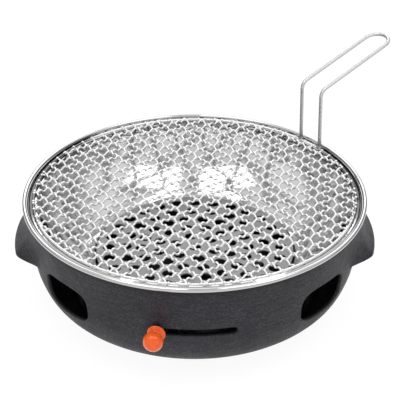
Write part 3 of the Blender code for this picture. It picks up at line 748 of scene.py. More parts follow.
def casing_edges():
    """Rounded lip, foot, flange edge and inner crook, as (radius, z) lines."""
    top, edge = CASING_TOP_Z, 0.9 * MM
    outer, inner, under = wall_radius(top - MM), wall_radius(top - MM) - 2 * MM, top - 2.6 * MM
    lip = rounded_line(
        [(outer, under), (outer, top), (inner, top), (inner, under)], [0, edge, edge, 0], 5, False
    )
    foot = rounded_line(
        [(wall_radius(3 * MM), 3 * MM), (wall_radius(1.6 * MM) - 1.4 * MM, 0), (98 * MM, 0)],
        [0, 3 * MM, 0], 6, False,
    )
    flange = rounded_line(
        [(87 * MM, 0), (FLANGE_RADIUS, 0), (FLANGE_RADIUS, FLANGE_TOP_Z), (87 * MM, FLANGE_TOP_Z)],
        [0, 0.5 * MM, 0.5 * MM, 0], 3, False,
    )
    inside = wall_radius(INNER_LOW_Z) - wall_thickness(INNER_LOW_Z)
    crook = rounded_line(
        [(97 * MM, FLANGE_TOP_Z), (inside - 4 * MM, FLANGE_TOP_Z), (inside, INNER_LOW_Z)],
        [0, 4 * MM, 0], 4, False,
    )
    return lip[-2:0:-1], foot[1:-1], flange[1:-1], crook[1:-1]


def build_casing():
    """The casing's section turned round, with patches where the windows and the slot are."""
    columns = casing_columns()
    upper, band, lower = casing_heights()
    lip, foot, flange, crook = casing_edges()
    inner_low = np.linspace(INNER_LOW_Z, BAND[0], 8)
    flange_radii = np.linspace(96.5, 87.2, 9)[:, None] * MM

    def wall(heights, depth):
        return wall_place(columns, heights[:, None], depth)

    blocks = {
        "outer_upper": wall(upper, 0.0), "outer_band": wall(band, 0.0),
        "outer_lower": wall(lower[:-1], 0.0), "foot": spun(foot, columns),
        "under": flange_place(columns, flange_radii, 0.0), "edge": spun(flange, columns),
        "over": flange_place(columns, flange_radii[::-1], 1.0), "crook": spun(crook, columns),
        "inner_low": wall(inner_low[:-1], 1.0), "inner_band": wall(band[::-1], 1.0),
        "inner_upper": wall(upper[:0:-1], 1.0), "lip": spun(lip, columns),
    }
    start = dict(zip(blocks, np.cumsum([0] + [len(rows) for rows in blocks.values()])))
    grid = np.vstack(list(blocks.values()))
    kept = np.ones(grid.shape[:2], bool)
    parts = []

    def pierce(centre, half_zone, hole, outline, roll, hole_z):
        """Leaves a zone out of the plain grid, on both sides, and fits a pierced patch there."""
        low, high = np.radians([centre - half_zone, centre + half_zone])
        inside = np.where((columns > low - NEAR) & (columns < high + NEAR))[0]
        inside = inside[np.argsort(columns[inside])]
        for first in (start["outer_band"], start["inner_band"]):
            kept[first : first + len(band) - 1, inside[:-1]] = False
        edge = (roll / WALL_REACH, roll, roll / sizes().casing_wall)
        parts.append(pierced(wall_place, columns[inside], band, hole, outline, edge, 9, 5, hole_z))

    hole = (WINDOW_HALF_ANGLE, WINDOW_HALF_HEIGHT)
    for side in (1, -1):
        for centre, way in ((WINDOW_AZIMUTH, side), (180 - WINDOW_AZIMUTH, -side)):
            outline = superellipse(3.3, WINDOW_SKEW * way)
            roll, z = sizes().casing_edge, sizes().window_z
            pierce(side * centre, WINDOW_ZONE, hole, outline, roll, z)
    hole = (SLOT_HALF_ANGLE, SLOT_HALF_HEIGHT)
    pierce(0.0, SLOT_ZONE, hole, slot_outline(1 / WALL_REACH), SLOT_EDGE, sizes().slot_z)
    return [meshed(grid, True, kept), *parts]


class GRILL_OT_casing(bpy.types.Operator):
    """Cast casing with its two lugs, four windows and damper slot"""

    bl_idname = "grill.casing"
    bl_label = "Casing"

    def execute(self, context):
        even_shading(make_piece(
            "casing_cast", build_casing(), "graphite_coating", "base", ("casing",), 50.0
        ))
        return {"FINISHED"}


# ---------------------------------------------------------------- bowl

BOWL_FLOOR_Z = 20 * MM
LEDGE_Z = 98.5 * MM
BEAD_NECK = 144.2 * MM  # where the rolled rim's sheet leaves the ledge
DIMPLE_RISE = 7 * MM
VENTS = 8
VENT_RADII = (34 * MM, 62 * MM)
VENT_HALF_ANGLE = math.radians(8.5)
VENT_ROWS = np.linspace(66, 30, 13) * MM
VENT_COLUMNS = DAMPER_REST + np.arange(192) * TAU / 192
BOWL_WALL = np.array([
    (137.4, 98.5), (135.4, 94.5), (128.7, 81), (118, 66.5), (104.3, 53.3), (91, 43), (82.5, 31),
    (75, 20),
]) * MM


def smooth_run(points, steps):
    """Catmull-Rom curve through points, as cubic pieces with slopes from their neighbours."""
    p = np.vstack([2 * points[0] - points[1], points, 2 * points[-1] - points[-2]])
    t = np.linspace(0, 1, steps, endpoint=False)[None, :, None]
    a, b, c, d = (p[k : len(p) - 3 + k][:, None] for k in range(4))
    run = 0.5 * (
        2 * b + (c - a) * t + (2 * a - 5 * b + 4 * c - d) * t**2 + (3 * b - a - 3 * c + d) * t**3
    )
    return np.vstack([run.reshape(-1, points.shape[1]), points[-1:]])


def sideways(line, distance):
    """The line moved to its left by a distance, along the normals of its own direction."""
    ahead = np.gradient(line, axis=0)
    ahead /= np.linalg.norm(ahead, axis=1)[:, None]
    return line + distance * np.stack([-ahead[:, 1], ahead[:, 0]], axis=-1)


def vent_patches(surface, edge):
    """Eight sector-shaped holes with rounded corners in a disc, as pierced patches."""
    middle = sum(VENT_RADII) / 2
    hole = (VENT_HALF_ANGLE - edge / middle, (VENT_RADII[1] - VENT_RADII[0]) / 2 - edge)
    rolled = (edge / middle, edge, 0.45)
    columns = np.append(VENT_COLUMNS, VENT_COLUMNS[0] + TAU)
    per = len(VENT_COLUMNS) // VENTS
    return [
        pierced(surface, columns[k : k + per + 1], VENT_ROWS, hole, superellipse(5.0), rolled, 4, 3)
        for k in range(0, per * VENTS, per)
    ]


def bowl_inside():
    """Inside of the bowl as (radius, z), from its rim to its axis; the floor's rows start it."""
    floor = BOWL_FLOOR_Z
    wall = smooth_run(BOWL_WALL[1:], 6)[1:-1]
    low = rounded_line([wall[-1], (75.5 * MM, floor), (66 * MM, floor)], [0, 6 * MM, 0], 8, False)[1:-1]
    ledge = rounded_line(
        [(BEAD_NECK, RIM_Z + MM), (BEAD_NECK - 0.1 * MM, LEDGE_Z), (137.2 * MM, LEDGE_Z), wall[0]],
        [0, 1.0 * MM, 2.2 * MM, 0], 6, False,
    )[:-1]
    high = floor + DIMPLE_RISE
    dimple = rounded_line(
        [(30 * MM, floor), (23.5 * MM, floor), (18.5 * MM, high), (0, high)],
        [0, 2.5 * MM, 2.5 * MM, 0], 5, False,
    )[1:]
    upper = np.vstack([ledge, wall, low])
    flat = np.stack([VENT_ROWS, np.full_like(VENT_ROWS, floor)], axis=-1)
    return upper, np.vstack([upper, flat, dimple])


def build_bowl():
    """The bowl's inside, its rolled rim and its underside in one section, turned round."""
    floor, sheet, bead_r = BOWL_FLOOR_Z, sizes().sheet, sizes().bead
    upper, inside = bowl_inside()
    under = sideways(inside, sheet)
    flat = np.abs(inside[:, 1] - floor) < 1e-9
    under[flat] = inside[flat] - (0, sheet)
    under[-1, 0] = 0
    under[0] = (BEAD_NECK + sheet, RIM_Z - 0.2 * MM)
    around = np.radians(np.linspace(205, -172, 27))
    bead = ring_outline(bead_r, around) + (RIM_RADIUS - bead_r, RIM_Z)
    grid = spun(np.vstack([inside[::-1], bead, under[1:]]), VENT_COLUMNS)
    kept = np.ones(grid.shape[:2], bool)[:-1]
    span, above = len(VENT_ROWS) - 1, len(upper)
    for first in (len(inside) - 1 - above - span, len(inside) + len(bead) + above - 1):
        kept[first : first + span] = False

    def floor_place(a, r, depth):
        return round_place(a, r, floor - depth * sheet)

    return [meshed(grid, False, kept), *vent_patches(floor_place, 0.35 * MM)]


class GRILL_OT_bowl(bpy.types.Operator):
    """Spun steel bowl with its rolled rim, grate ledge and floor vents"""

    bl_idname = "grill.bowl"
    bl_label = "Bowl"

    def execute(self, context):
        even_shading(make_piece(
            "bowl_spun", build_bowl(), "stainless_steel", "fire_bowl", ("bowl",), 60.0
        ))
        return {"FINISHED"}


# ---------------------------------------------------------------- charcoal plate

PLATE_RADIUS = 88.5 * MM
PLATE_TOP_Z = 43 * MM
PLATE_THICKNESS = 1.5 * MM
PLATE_BAND = 6.9 * MM
PLATE_RINGS = (  # ring radius, number of holes, angle of the first from +X in degrees
    (18.3 * MM, 6, 41.2), (32.9 * MM, 12, 13.1), (47.7 * MM, 18, 1.2), (62.3 * MM, 21, 7.5),
    (77.7 * MM, 28, 0.0),
)


def zip_rings(inner, outer, z):
    """Triangles between two rings of points with any spacing, taken in order of angle.

    Each ring is its points' angles and its radius. Each next point in angle order makes a
    triangle with the last point passed on each ring.
    """
    points, order = [], []
    for ring in (inner, outer):
        angle = np.mod(ring[0], TAU)
        sort = np.argsort(angle)
        order.append(angle[sort])
        r = np.broadcast_to(ring[1], angle.shape)[sort]
        points.append(np.stack([r * np.cos(order[-1]), r * np.sin(order[-1]), np.full_like(r, z)], -1))
    n, m = len(order[0]), len(order[1])
    angle = np.concatenate(order)
    which = np.concatenate([np.zeros(n, int), np.ones(m, int)])
    sort = np.argsort(angle, kind="stable")
    which = which[sort]
    a = np.cumsum(which == 0) - 1
    b = np.cumsum(which == 1) - 1
    a0 = np.where(which == 0, a - 1, a) % n
    b0 = np.where(which == 1, b - 1, b) % m
    third = np.where(which == 0, a % n, n + b % m)
    faces = np.stack([a0, n + b0, third, third], axis=-1)
    return np.vstack(points), faces


def build_charcoal_plate():
    """Plate with one turned hole in its middle and rings of pierced patches, zipped together."""
    hole, roll, core = sizes().plate_hole, 0.35 * MM, 10.4 * MM
    top, low = PLATE_TOP_Z, PLATE_TOP_Z - PLATE_THICKNESS

    def place(a, r, depth):
        return np.stack([r * np.cos(a), r * np.sin(a), top - depth * PLATE_THICKNESS], axis=-1)

    line = rounded_line(
        [(core, top), (hole, top), (hole, low), (core, low)], [0, roll, roll, 0], 3, False
    )
    parts, edges = [turned(line, 24, False)], [(np.arange(24) * TAU / 24, core)]
    for radius, count, first in PLATE_RINGS:
        step = TAU / count
        cell = math.radians(first) + np.arange(count) * step
        b = np.linspace(radius - PLATE_BAND, radius + PLATE_BAND, 7)
        edge = (roll / radius, roll, roll / PLATE_THICKNESS)
        for centre in cell:
            a = centre + np.linspace(-step / 2, step / 2, 9)
            parts.append(pierced(place, a, b, (hole / radius, hole), superellipse(2.0), edge, 2, 3))
        angles = (cell[:, None] + np.linspace(-step / 2, step / 2, 9)[None, :-1]).ravel()
        edges += [(angles, b[0]), (angles, b[-1])]
    for inner, outer in zip(edges[:-1:2], edges[1::2]):
        parts += [zip_rings(inner, outer, top), zip_rings(inner, outer, low)]
    angles, outer = edges[-1]
    rim = rounded_line(
        [(outer, top), (PLATE_RADIUS, top), (PLATE_RADIUS, low), (outer, low)],
        [0, 0.6 * MM, 0.6 * MM, 0], 4, False,
    )
    return parts + [turned(rim, np.sort(np.mod(angles, TAU)), False)]


class GRILL_OT_charcoal_plate(bpy.types.Operator):
    """Perforated charcoal plate with punched holes"""

    bl_idname = "grill.charcoal_plate"
    bl_label = "Charcoal plate"

    def execute(self, context):
        even_shading(make_piece(
            "charcoal_plate_punched", build_charcoal_plate(), "charcoal_plate_steel", "coal_tray",
            ("charcoal_plate",), 35.0,
        ))
        return {"FINISHED"}


# ---------------------------------------------------------------- grate

RING_RADIUS = 140.3 * MM
RING_WIRE = 1.1 * MM
NET_CROSSING = (0.476, 0.106)  # place of one crossing along the two wire directions, in pitches
NET_STEPS = 16  # points along a wire from one crossing to the next
NET_LONG_WAVE = 0.15  # the long wave's share of the fine wave, which it opposes at crossings


def wire_places(first):
    """Numbers and offsets of one set's wires, from the place of its first one in pitches."""
    most = int(RING_RADIUS / sizes().net_pitch) + 2
    k = np.arange(-most, most + 1)
    offsets = (k + first) * sizes().net_pitch
    inside = np.abs(offsets) < RING_RADIUS - 3 * MM
    return k[inside], offsets[inside]


def woven_set(angle, first, crossing, sign):
    """One set of the net's wires, crimped three times from each crossing to the next.

    At s pitches from a crossing wire, wire k is at sign * crimp * (cos 3 pi (s + k)
    - share * cos pi (s + k)), so it passes over one crossing wire and under the next, and its
    neighbours do the opposite. It runs level near its ends.
    """
    pitch, radius = sizes().net_pitch, sizes().net_wire
    along, across = level_directions(angle)
    outline = ring_outline(radius, 8)
    parts, ends = [], []
    for k, offset in zip(*wire_places(first)):
        half = math.sqrt(RING_RADIUS**2 - offset**2)
        s = np.linspace(-half, half, max(9, int(2 * half / pitch * NET_STEPS)))
        turns = math.pi * (s / pitch - crossing + k)
        settle = np.clip((half - np.abs(s)) / (0.35 * pitch), 0, 1)
        wave = np.cos(3 * turns) - NET_LONG_WAVE * np.cos(turns)
        z = sign * sizes().net_crimp * wave * settle
        path = offset * across + s[:, None] * along + (RIM_Z + z)[:, None] * UP
        normal = np.broadcast_to(across, path.shape)
        parts.append(carried(path, normal, outline))
        ends += [path[0], path[-1]]
    return parts, ends


def weld_bead(centre, size):
    """Small flattened bead of weld metal: an ellipsoid of 8 by 5 faces."""
    t = np.linspace(-math.pi / 2, math.pi / 2, 6)
    profile = np.stack([size[0] * np.cos(t), size[1] * np.sin(t)], axis=-1)
    profile[[0, -1], 0] = 0
    points, faces = turned(profile, 8, closed=False)
    return points + centre, faces


def build_net():
    """The two sets of wires, and a bead of weld metal at each wire's end."""
    u, v = NET_CROSSING
    warp, ends = woven_set(sizes().net_angle, v, u, 1.0)
    weft, more = woven_set(sizes().net_angle + math.pi / 2, -u, v, -1.0)
    lift = np.array([0, 0, 0.75 * MM])
    beads = [weld_bead(end + lift, (1.5 * MM, 1.1 * MM)) for end in ends + more]
    return warp, weft, beads


class GRILL_OT_grate(bpy.types.Operator):
    """Woven grate: its edge ring, net and welds"""

    bl_idname = "grill.grate"
    bl_label = "Grate"

    def execute(self, context):
        warp, weft, beads = build_net()
        make_piece("net_warp", warp, "grate_wire", "grate", ("grate_net",), 0)
        make_piece("net_weft", weft, "grate_wire", "grate", (), 0)
        make_piece("net_welds", beads, "grate_wire", "grate", (), 0)
        section = ring_outline(RING_WIRE, 14) + (RING_RADIUS, RIM_Z)
        make_piece("grate_edge_ring", [turned(section, 180)], "grate_wire", "grate", ("grate_ring",), 0)
        return {"FINISHED"}


# ---------------------------------------------------------------- handle

HANDLE_AZIMUTH = math.radians(40)
HANDLE_LEG_RADIUS = 139.5 * MM
HANDLE_HALF_WIDTH = 12.2 * MM
HANDLE_LEG_HEIGHT = 59.0 * MM
HANDLE_RISE = math.radians(15.0)
HANDLE_REACH = 85.6 * MM
HANDLE_BEND = 8 * MM
# Painted highlight: the handle's wire is painted lighter where it faces this way, and darker on its flanks.
LIT_FACING = (0.25, -0.8, 0.55)  # the front and top of the handle's wire
HANDLE_LEAN = 1.9 * MM  # how far the legs' feet stand outside their knees


def handle_path():
    """Centre line and its side direction: up a leg, round a bend, along the grip, half a turn
    and back the same way on the other side."""
    out, side = level_directions(HANDLE_AZIMUTH)
    grip = math.cos(HANDLE_RISE) * out + math.sin(HANDLE_RISE) * UP
    foot_z = RIM_Z + RING_WIRE - 0.3 * MM
    knee = (0.0, RIM_Z + HANDLE_LEG_HEIGHT)
    end = (HANDLE_REACH * math.cos(HANDLE_RISE), knee[1] + HANDLE_REACH * math.sin(HANDLE_RISE))
    flat = rounded_line([(HANDLE_LEAN, foot_z), knee, end], [0, HANDLE_BEND, 0], 10, False)
    gap = np.linalg.norm(np.diff(flat, axis=0), axis=1)
    travel = np.concatenate([[0], np.cumsum(gap)])
    even = np.unique(np.concatenate([travel, np.linspace(0, travel[-1], 26)]))
    flat = np.stack([np.interp(even, travel, flat[:, k]) for k in (0, 1)], axis=-1)
    run = (HANDLE_LEG_RADIUS + flat[:, :1]) * out + flat[:, 1:] * UP
    t = np.linspace(0, math.pi, 25)[1:-1][:, None]
    loop_side = np.cos(t) * side + np.sin(t) * grip
    loop = run[-1] + HANDLE_HALF_WIDTH * loop_side
    path = np.vstack([run + HANDLE_HALF_WIDTH * side, loop, run[::-1] - HANDLE_HALF_WIDTH * side])
    side_rows = np.broadcast_to(side, run.shape)
    return path, np.vstack([side_rows, loop_side, -side_rows])


def mark_lit_facing(piece):
    """Vertex attribute: how squarely the surface faces front and up, for the handle's painted highlight and
    painted shade on its flanks.
    """
    mesh = piece.data
    normals = np.empty(3 * len(mesh.vertices))
    mesh.vertex_normals.foreach_get("vector", normals)
    values = normals.reshape(-1, 3) @ np.array(LIT_FACING) / math.hypot(*LIT_FACING)
    mesh.attributes.new("lit_facing", "FLOAT", "POINT").data.foreach_set("value", values)


class GRILL_OT_handle(bpy.types.Operator):
    """Bent wire handle of the grate, with its two foot welds"""

    bl_idname = "grill.handle"
    bl_label = "Grate handle"

    def execute(self, context):
        path, normal = handle_path()
        wire = carried(path, normal, ring_outline(sizes().handle_wire, 20))
        piece = make_piece("handle_wire", [wire], "chromed_wire", "grate", ("grate_handle",), 60.0)
        mark_lit_facing(piece)
        lift = np.array([0, 0, 0.2 * MM])
        beads = [weld_bead(foot + lift, (3.0 * MM, 1.7 * MM)) for foot in (path[0], path[-1])]
        make_piece("handle_welds", beads, "chromed_wire", "grate", (), 0)
        return {"FINISHED"}


# ---------------------------------------------------------------- damper and knob

DISC_Z = 17.4 * MM
DISC_THICKNESS = 1.2 * MM
DISC_RADIUS = 68 * MM
PIVOT_RADIUS = 3.0 * MM
ARM_THICKNESS = 1.5 * MM
ARM_HALF_WIDTH = 5 * MM
ARM_LINE = ((22 * MM, 16.35 * MM), (102 * MM, 16.35 * MM), (134 * MM, 50 * MM), (134 * MM, 63 * MM))
ARM_RIVETS = (28 * MM, 63 * MM)
KNOB_Z = 55.1 * MM
KNOB_BALL_RADIUS = 8.1 * MM
KNOB_BALL_CENTRE = 157.1 * MM


def build_disc():
    """Damper disc: a flat ring round the pivot, eight vents, and rolled inner and outer edges."""
    top, low = DISC_Z + DISC_THICKNESS, DISC_Z
    bore, vents_in, vents_out = PIVOT_RADIUS + 0.12 * MM, VENT_ROWS[-1], VENT_ROWS[0]

    def place(a, r, depth):
        return round_place(a, r, top - depth * DISC_THICKNESS)

    outer = rounded_line(
        [(vents_out, low), (DISC_RADIUS, low), (DISC_RADIUS, top), (vents_out, top)],
        [0, 0.4 * MM, 0.4 * MM, 0], 3, False,
    )
    inner = rounded_line(
        [(vents_in, top), (bore, top), (bore, low), (vents_in, low)],
        [0, 0.3 * MM, 0.3 * MM, 0], 3, False,
    )
    edges = [meshed(spun(line, VENT_COLUMNS)) for line in (outer, inner)]
    return edges + vent_patches(place, 0.3 * MM)


def build_arm():
    """Bent strip: a rounded rectangle carried along a line that lies in the knob's plane."""
    line = rounded_line(ARM_LINE, [0, 6 * MM, 5 * MM, 0], 8, False)
    out, side = level_directions(FRONT + DAMPER_REST)
    path = line[:, :1] * out + line[:, 1:] * UP
    half, t = ARM_HALF_WIDTH, ARM_THICKNESS / 2
    section = rounded_line([(-half, -t), (half, -t), (half, t), (-half, t)], 0.35 * MM, 3)
    return [carried(path, np.broadcast_to(side, path.shape), section)]


def knob_profile():
    """Turned outline of the knob about its own axis, measured from the arm's middle."""
    start, flange, ball = 2.35 * MM, 11.4 * MM, KNOB_BALL_CENTRE - ARM_LINE[-1][0]
    bore, stem_r = 1.9 * MM, 2.7 * MM
    stem = rounded_line([(bore, start), (stem_r, start), (stem_r, flange - MM)], [0, 0.3 * MM, 0], 3, False)
    disc = smooth_run(np.array([
        (2.7, 11.4), (5.6, 11.35), (7.0, 11.65), (7.5, 12.3), (7.2, 13.1), (6.0, 13.9), (4.7, 14.6),
        (4.05, 15.4),
    ]) * MM, 4)
    neck = -math.acos(4.0 * MM / KNOB_BALL_RADIUS)
    crown = ring_outline(KNOB_BALL_RADIUS, np.linspace(neck, math.pi / 2, 26)) * (1, 0.97) + (0, ball)
    crown[-1, 0] = 0
    return np.vstack([[(0.0, 6 * MM), (bore, 6 * MM)], stem, disc, crown])


def build_rivet(radius):
    """Domed rivet through the arm and the disc, at a distance from the pivot."""
    low, top = DISC_Z - GAP - ARM_THICKNESS, DISC_Z + DISC_THICKNESS
    head, shank, dome = 3.2 * MM, 1.8 * MM, low - 1.2 * MM
    line = rounded_line(
        [(0, dome), (head, dome), (head, low - 0.1 * MM), (shank, low), (shank, top), (0, top)],
        [0, MM, 0.1 * MM, 0, 0.2 * MM, 0], 4, False,
    )
    out, _ = level_directions(FRONT + DAMPER_REST)
    return turned(line, 28, False, radius * out[:2])


def on_tab(points):
    """Points built about +Z, laid on the arm's upright tab so that +Z points outwards."""
    return to_radial(points, FRONT + DAMPER_REST, ARM_LINE[-1][0], KNOB_Z)


class GRILL_OT_damper(bpy.types.Operator):
    """Air damper: disc, arm, rivets, and the knob with its screw and washer"""

    bl_idname = "grill.damper"
    bl_label = "Damper and knob"

    def execute(self, context):
        for name, parts, node in (
            ("damper_disc_cut", build_disc(), "damper_disc"),
            ("damper_arm_bent", build_arm(), "damper_arm"),
        ):
            even_shading(make_piece(name, parts, "damper_steel", "damper", (node,), 50.0))
        for k, radius in enumerate(ARM_RIVETS, 1):
            make_piece(
                f"rivet_{k}", [build_rivet(radius)], "zinc_plated_steel", "damper", (f"arm_rivet_{k}",)
            )
        washer = turned(washer_line(1.9 * MM, 4.5 * MM, 1.05 * MM, 2.05 * MM), 32)
        points, faces = cross_screw(1.5 * MM, 2.9 * MM, 2.0 * MM, 13.55 * MM)
        screw = points * (1, -1, -1) - (0, 0, 1.05 * MM), faces
        for name, (points, faces), slot, node, sharp in (
            ("knob_moulded", turned(knob_profile(), 56, False), "orange_knob", "knob", 45.0),
            ("washer_fibre", washer, "fibre_washer", "knob_washer", 40.0),
            ("screw_knob", screw, "zinc_plated_steel", "knob_screw", 40.0),
        ):
            make_piece(name, [(on_tab(points), faces)], slot, "damper", (node,), sharp)
        return {"FINISHED"}


# ---------------------------------------------------------------- base, shield and fasteners

BASE_RIM_Z = 3.3 * MM
BASE_THICKNESS = 1.0 * MM
SHIELD_RIM_Z = 10.2 * MM
SHIELD_THICKNESS = 0.8 * MM
HOLED_ROWS = np.linspace(95.5, 87.5, 9) * MM  # radii across the band that holds the screw holes


def washer_line(inner, outer, low, high, edge=0.2 * MM):
    """Closed outline of a washer or sleeve, with rounded edges."""
    return rounded_line([(outer, low), (outer, high), (inner, high), (inner, low)], edge, 3)


def cross_screw(shank, head, height, length):
    """Pan-head screw on its own axis, its shank from z = 0 down, with a cross recess.

    The head's top sinks where the distance to either arm of the cross is under the arm's half
    width, fading towards the arms' ends.
    """
    t = np.arange(48) * TAU / 48
    r = np.linspace(0, head * 0.8, 9)[:, None]
    crown = height * (1 - 0.35 * (r / head) ** 2)
    to_arm = np.minimum(np.abs(np.sin(t)), np.abs(np.cos(t))) * r
    in_arm = np.clip(1 - to_arm / (0.16 * head), 0, 1) * np.clip(1.5 - r / (0.62 * head) * 1.5, 0, 1)
    z = crown - 0.55 * height * np.clip(in_arm * 2.0, 0, 1)
    side = rounded_line(
        [(head * 0.8, crown[-1, 0]), (head, height * 0.62), (head, 0), (shank, 0)],
        [0, 0.25 * height, 0.1 * MM, 0], 3, False,
    )
    tip = [(shank, 0.5 * MM - length), (shank * 0.7, -length), (0, -length)]
    top = meshed(np.stack([r * np.cos(t), r * np.sin(t), z], axis=-1))
    return gather([top, turned(np.vstack([side, tip]), 48, False)])


def holed_plate(outer, inner, low, thickness):
    """Turned sheet with four screw holes: plain turned edges and a pierced band between them."""
    count, zone, edge = 160, 8, 0.2 * MM
    t = np.arange(count) * TAU / count - math.pi

    def place(a, r, depth):
        return round_place(a, r, low + (1 - depth) * thickness)

    parts = [meshed(spun(line, t)) for line in (outer, inner)]
    kept = np.ones(count, bool)
    hole = (SCREW_HOLE / SCREW_CIRCLE, SCREW_HOLE)
    rolled = (edge / SCREW_CIRCLE, edge, 0.3)
    quarter = count // 4
    for first in range(quarter // 2 - zone // 2, count, quarter):
        kept[first : first + zone] = False
        a = t[first : first + zone + 1]
        parts.append(pierced(place, a, HOLED_ROWS, hole, superellipse(2.0), rolled, 3, 3))
    for depth in (0.0, 1.0):
        grid = place(t, HOLED_ROWS[:, None], np.full((len(HOLED_ROWS), count), depth))
        parts.append(meshed(grid, False, kept))
    return parts


def build_base_plate():
    """Pressed base: flat in the middle, a step up, and a rim with four screw holes."""
    low, t = BASE_RIM_Z, BASE_THICKNESS
    top, (out, into) = low + t, HOLED_ROWS[[0, -1]]
    outer = rounded_line(
        [(out, low), (97 * MM, low), (97 * MM, top), (out, top)], [0, 0.3 * MM, 0.3 * MM, 0], 3, False
    )
    inner = np.vstack([
        rounded_line(
            [(into, top), (84.6 * MM, top), (80 * MM, t), (0, t)], [0, 1.5 * MM, 1.5 * MM, 0], 5, False
        ),
        rounded_line(
            [(0, 0), (80.6 * MM, 0), (85.2 * MM, low), (into, low)], [0, 1.5 * MM, 0.8 * MM, 0], 5, False
        ),
    ])
    return holed_plate(outer, inner, low, t)


def build_heat_shield():
    """Shallow pan: stud hole, dished middle, rim with four screw holes, and a turned-up lip."""
    z, t = SHIELD_RIM_Z, SHIELD_THICKNESS
    top, (out, into) = z + t, HOLED_ROWS[[0, -1]]
    dish, hole = z - 2.2 * MM, PIVOT_RADIUS + 0.3 * MM
    lip_out, lip_in, lip_z = 98 * MM, 97.2 * MM, 14 * MM
    lip = rounded_line(
        [(out, z), (lip_out, z), (lip_out, lip_z), (lip_in, lip_z), (lip_in, top), (out, top)],
        np.array([0, 1.2, 0.38, 0.38, 0.4, 0]) * MM, 4, False,
    )
    above = [(84.6 * MM, top), (79.6 * MM, dish + t), (30.4 * MM, dish + t), (24.4 * MM, top)]
    below = [(24 * MM, z), (30 * MM, dish), (80 * MM, dish), (85 * MM, z)]
    inner = rounded_line(
        [(into, top), *above, (hole, top), (hole, z), *below, (into, z)],
        np.array([0, 1.5, 1.5, 2, 2, 0.2, 0.2, 2, 2, 1.5, 1.5, 0]) * MM, 4, False,
    )
    return holed_plate(lip, inner, z, t)


class GRILL_OT_base(bpy.types.Operator):
    """Base plate, heat shield and the four screws and sleeves that clamp them"""

    bl_idname = "grill.base"
    bl_label = "Base and shield"

    def execute(self, context):
        for name, parts, node in (
            ("base_plate_pressed", build_base_plate(), "base_plate"),
            ("heat_shield_pressed", build_heat_shield(), "heat_shield"),
        ):
            even_shading(make_piece(name, parts, "galvanised_sheet", "base", (node,), 50.0))
        seat = SHIELD_RIM_Z + SHIELD_THICKNESS + GAP
        low, high = BASE_RIM_Z + BASE_THICKNESS + GAP, SHIELD_RIM_Z - GAP
        sleeve = washer_line(SCREW_HOLE, 4.2 * MM, low, high, 0.25 * MM)
        points, faces = cross_screw(2.0 * MM, 3.8 * MM, 2.2 * MM, seat - 0.6 * MM)
        for k, azimuth in enumerate(SCREW_AZIMUTHS, 1):
            x, y = SCREW_CIRCLE * math.cos(azimuth), SCREW_CIRCLE * math.sin(azimuth)
            for name, part, node in (
                ("sleeve", turned(sleeve, 32, True, (x, y)), "shield_spacer"),
                ("screw", (points + (x, y, seat), faces), "base_screw"),
            ):
                make_piece(f"{name}_{k}", [part], "zinc_plated_steel", "base", (f"{node}_{k}",))
        return {"FINISHED"}


def build_stud():
    """Stud with a domed foot under the shield and a collar that the damper disc turns on."""
    z, top, wide = SHIELD_RIM_Z, SHIELD_RIM_Z + SHIELD_THICKNESS + GAP, 6.5 * MM
    foot, foot_z, collar = 6 * MM, SHIELD_RIM_Z - 2.2 * MM, DISC_Z - GAP
    shank, tip = PIVOT_RADIUS, 24.4 * MM
    line = [
        (0, foot_z), (foot, foot_z), (foot, z - GAP), (shank, z - GAP), (shank, top), (wide, top),
        (wide, collar), (shank, collar), (shank, tip), (0, tip),
    ]
    radii = np.array([0, 1.6, 0.1, 0, 0, 0.3, 0.3, 0, 0.5, 0]) * MM
    return turned(rounded_line(line, radii, 4, False), 40, False)


class GRILL_OT_pivot(bpy.types.Operator):
    """Stud that the damper turns on, with its washer and nut"""

    bl_idname = "grill.pivot"
    bl_label = "Pivot"

    def execute(self, context):
        low = DISC_Z + DISC_THICKNESS + GAP
        high = low + 0.8 * MM
        washer = turned(washer_line(3.3 * MM, 7 * MM, low, high), 40)
        nut = hex_nut(high + GAP, 3.6 * MM, 5.8 * MM, 3.3 * MM)
        for name, part, node in (
            ("stud_turned", build_stud(), "pivot_stud"),
            ("washer_pivot", washer, "pivot_washer"),
            ("nut_pivot", nut, "pivot_nut"),
        ):
            make_piece(name, [part], "zinc_plated_steel", "base", (node,))
        return {"FINISHED"}


def hex_nut(low, height, corner, bore):
    """Six-sided nut: its corners are cut by a shallow cone at both ends.

    The side's radius at angle t is flat / cos(t to the nearest flat's middle); the end rings
    take the smaller of that and the cone's radius.
    """
    t = np.arange(96) * TAU / 96
    flat, chamfer = corner * math.cos(math.pi / 6), 0.4 * MM
    side = flat / np.cos(np.mod(t, TAU / 6) - math.pi / 6)
    cone = np.minimum(side, flat * 0.985)
    drop = (side - cone) * 0.5
    wide = bore + chamfer
    rings = (
        (bore, chamfer), (wide, 0), (cone, 0), (side, drop), (side, height - drop), (cone, height),
        (wide, height), (bore, height - chamfer),
    )
    r, z = (np.array([np.broadcast_to(ring[k], t.shape) for ring in rings]) for k in (0, 1))
    return meshed(np.stack([r * np.cos(t), r * np.sin(t), z + low], axis=-1), True)


# ---------------------------------------------------------------- studio

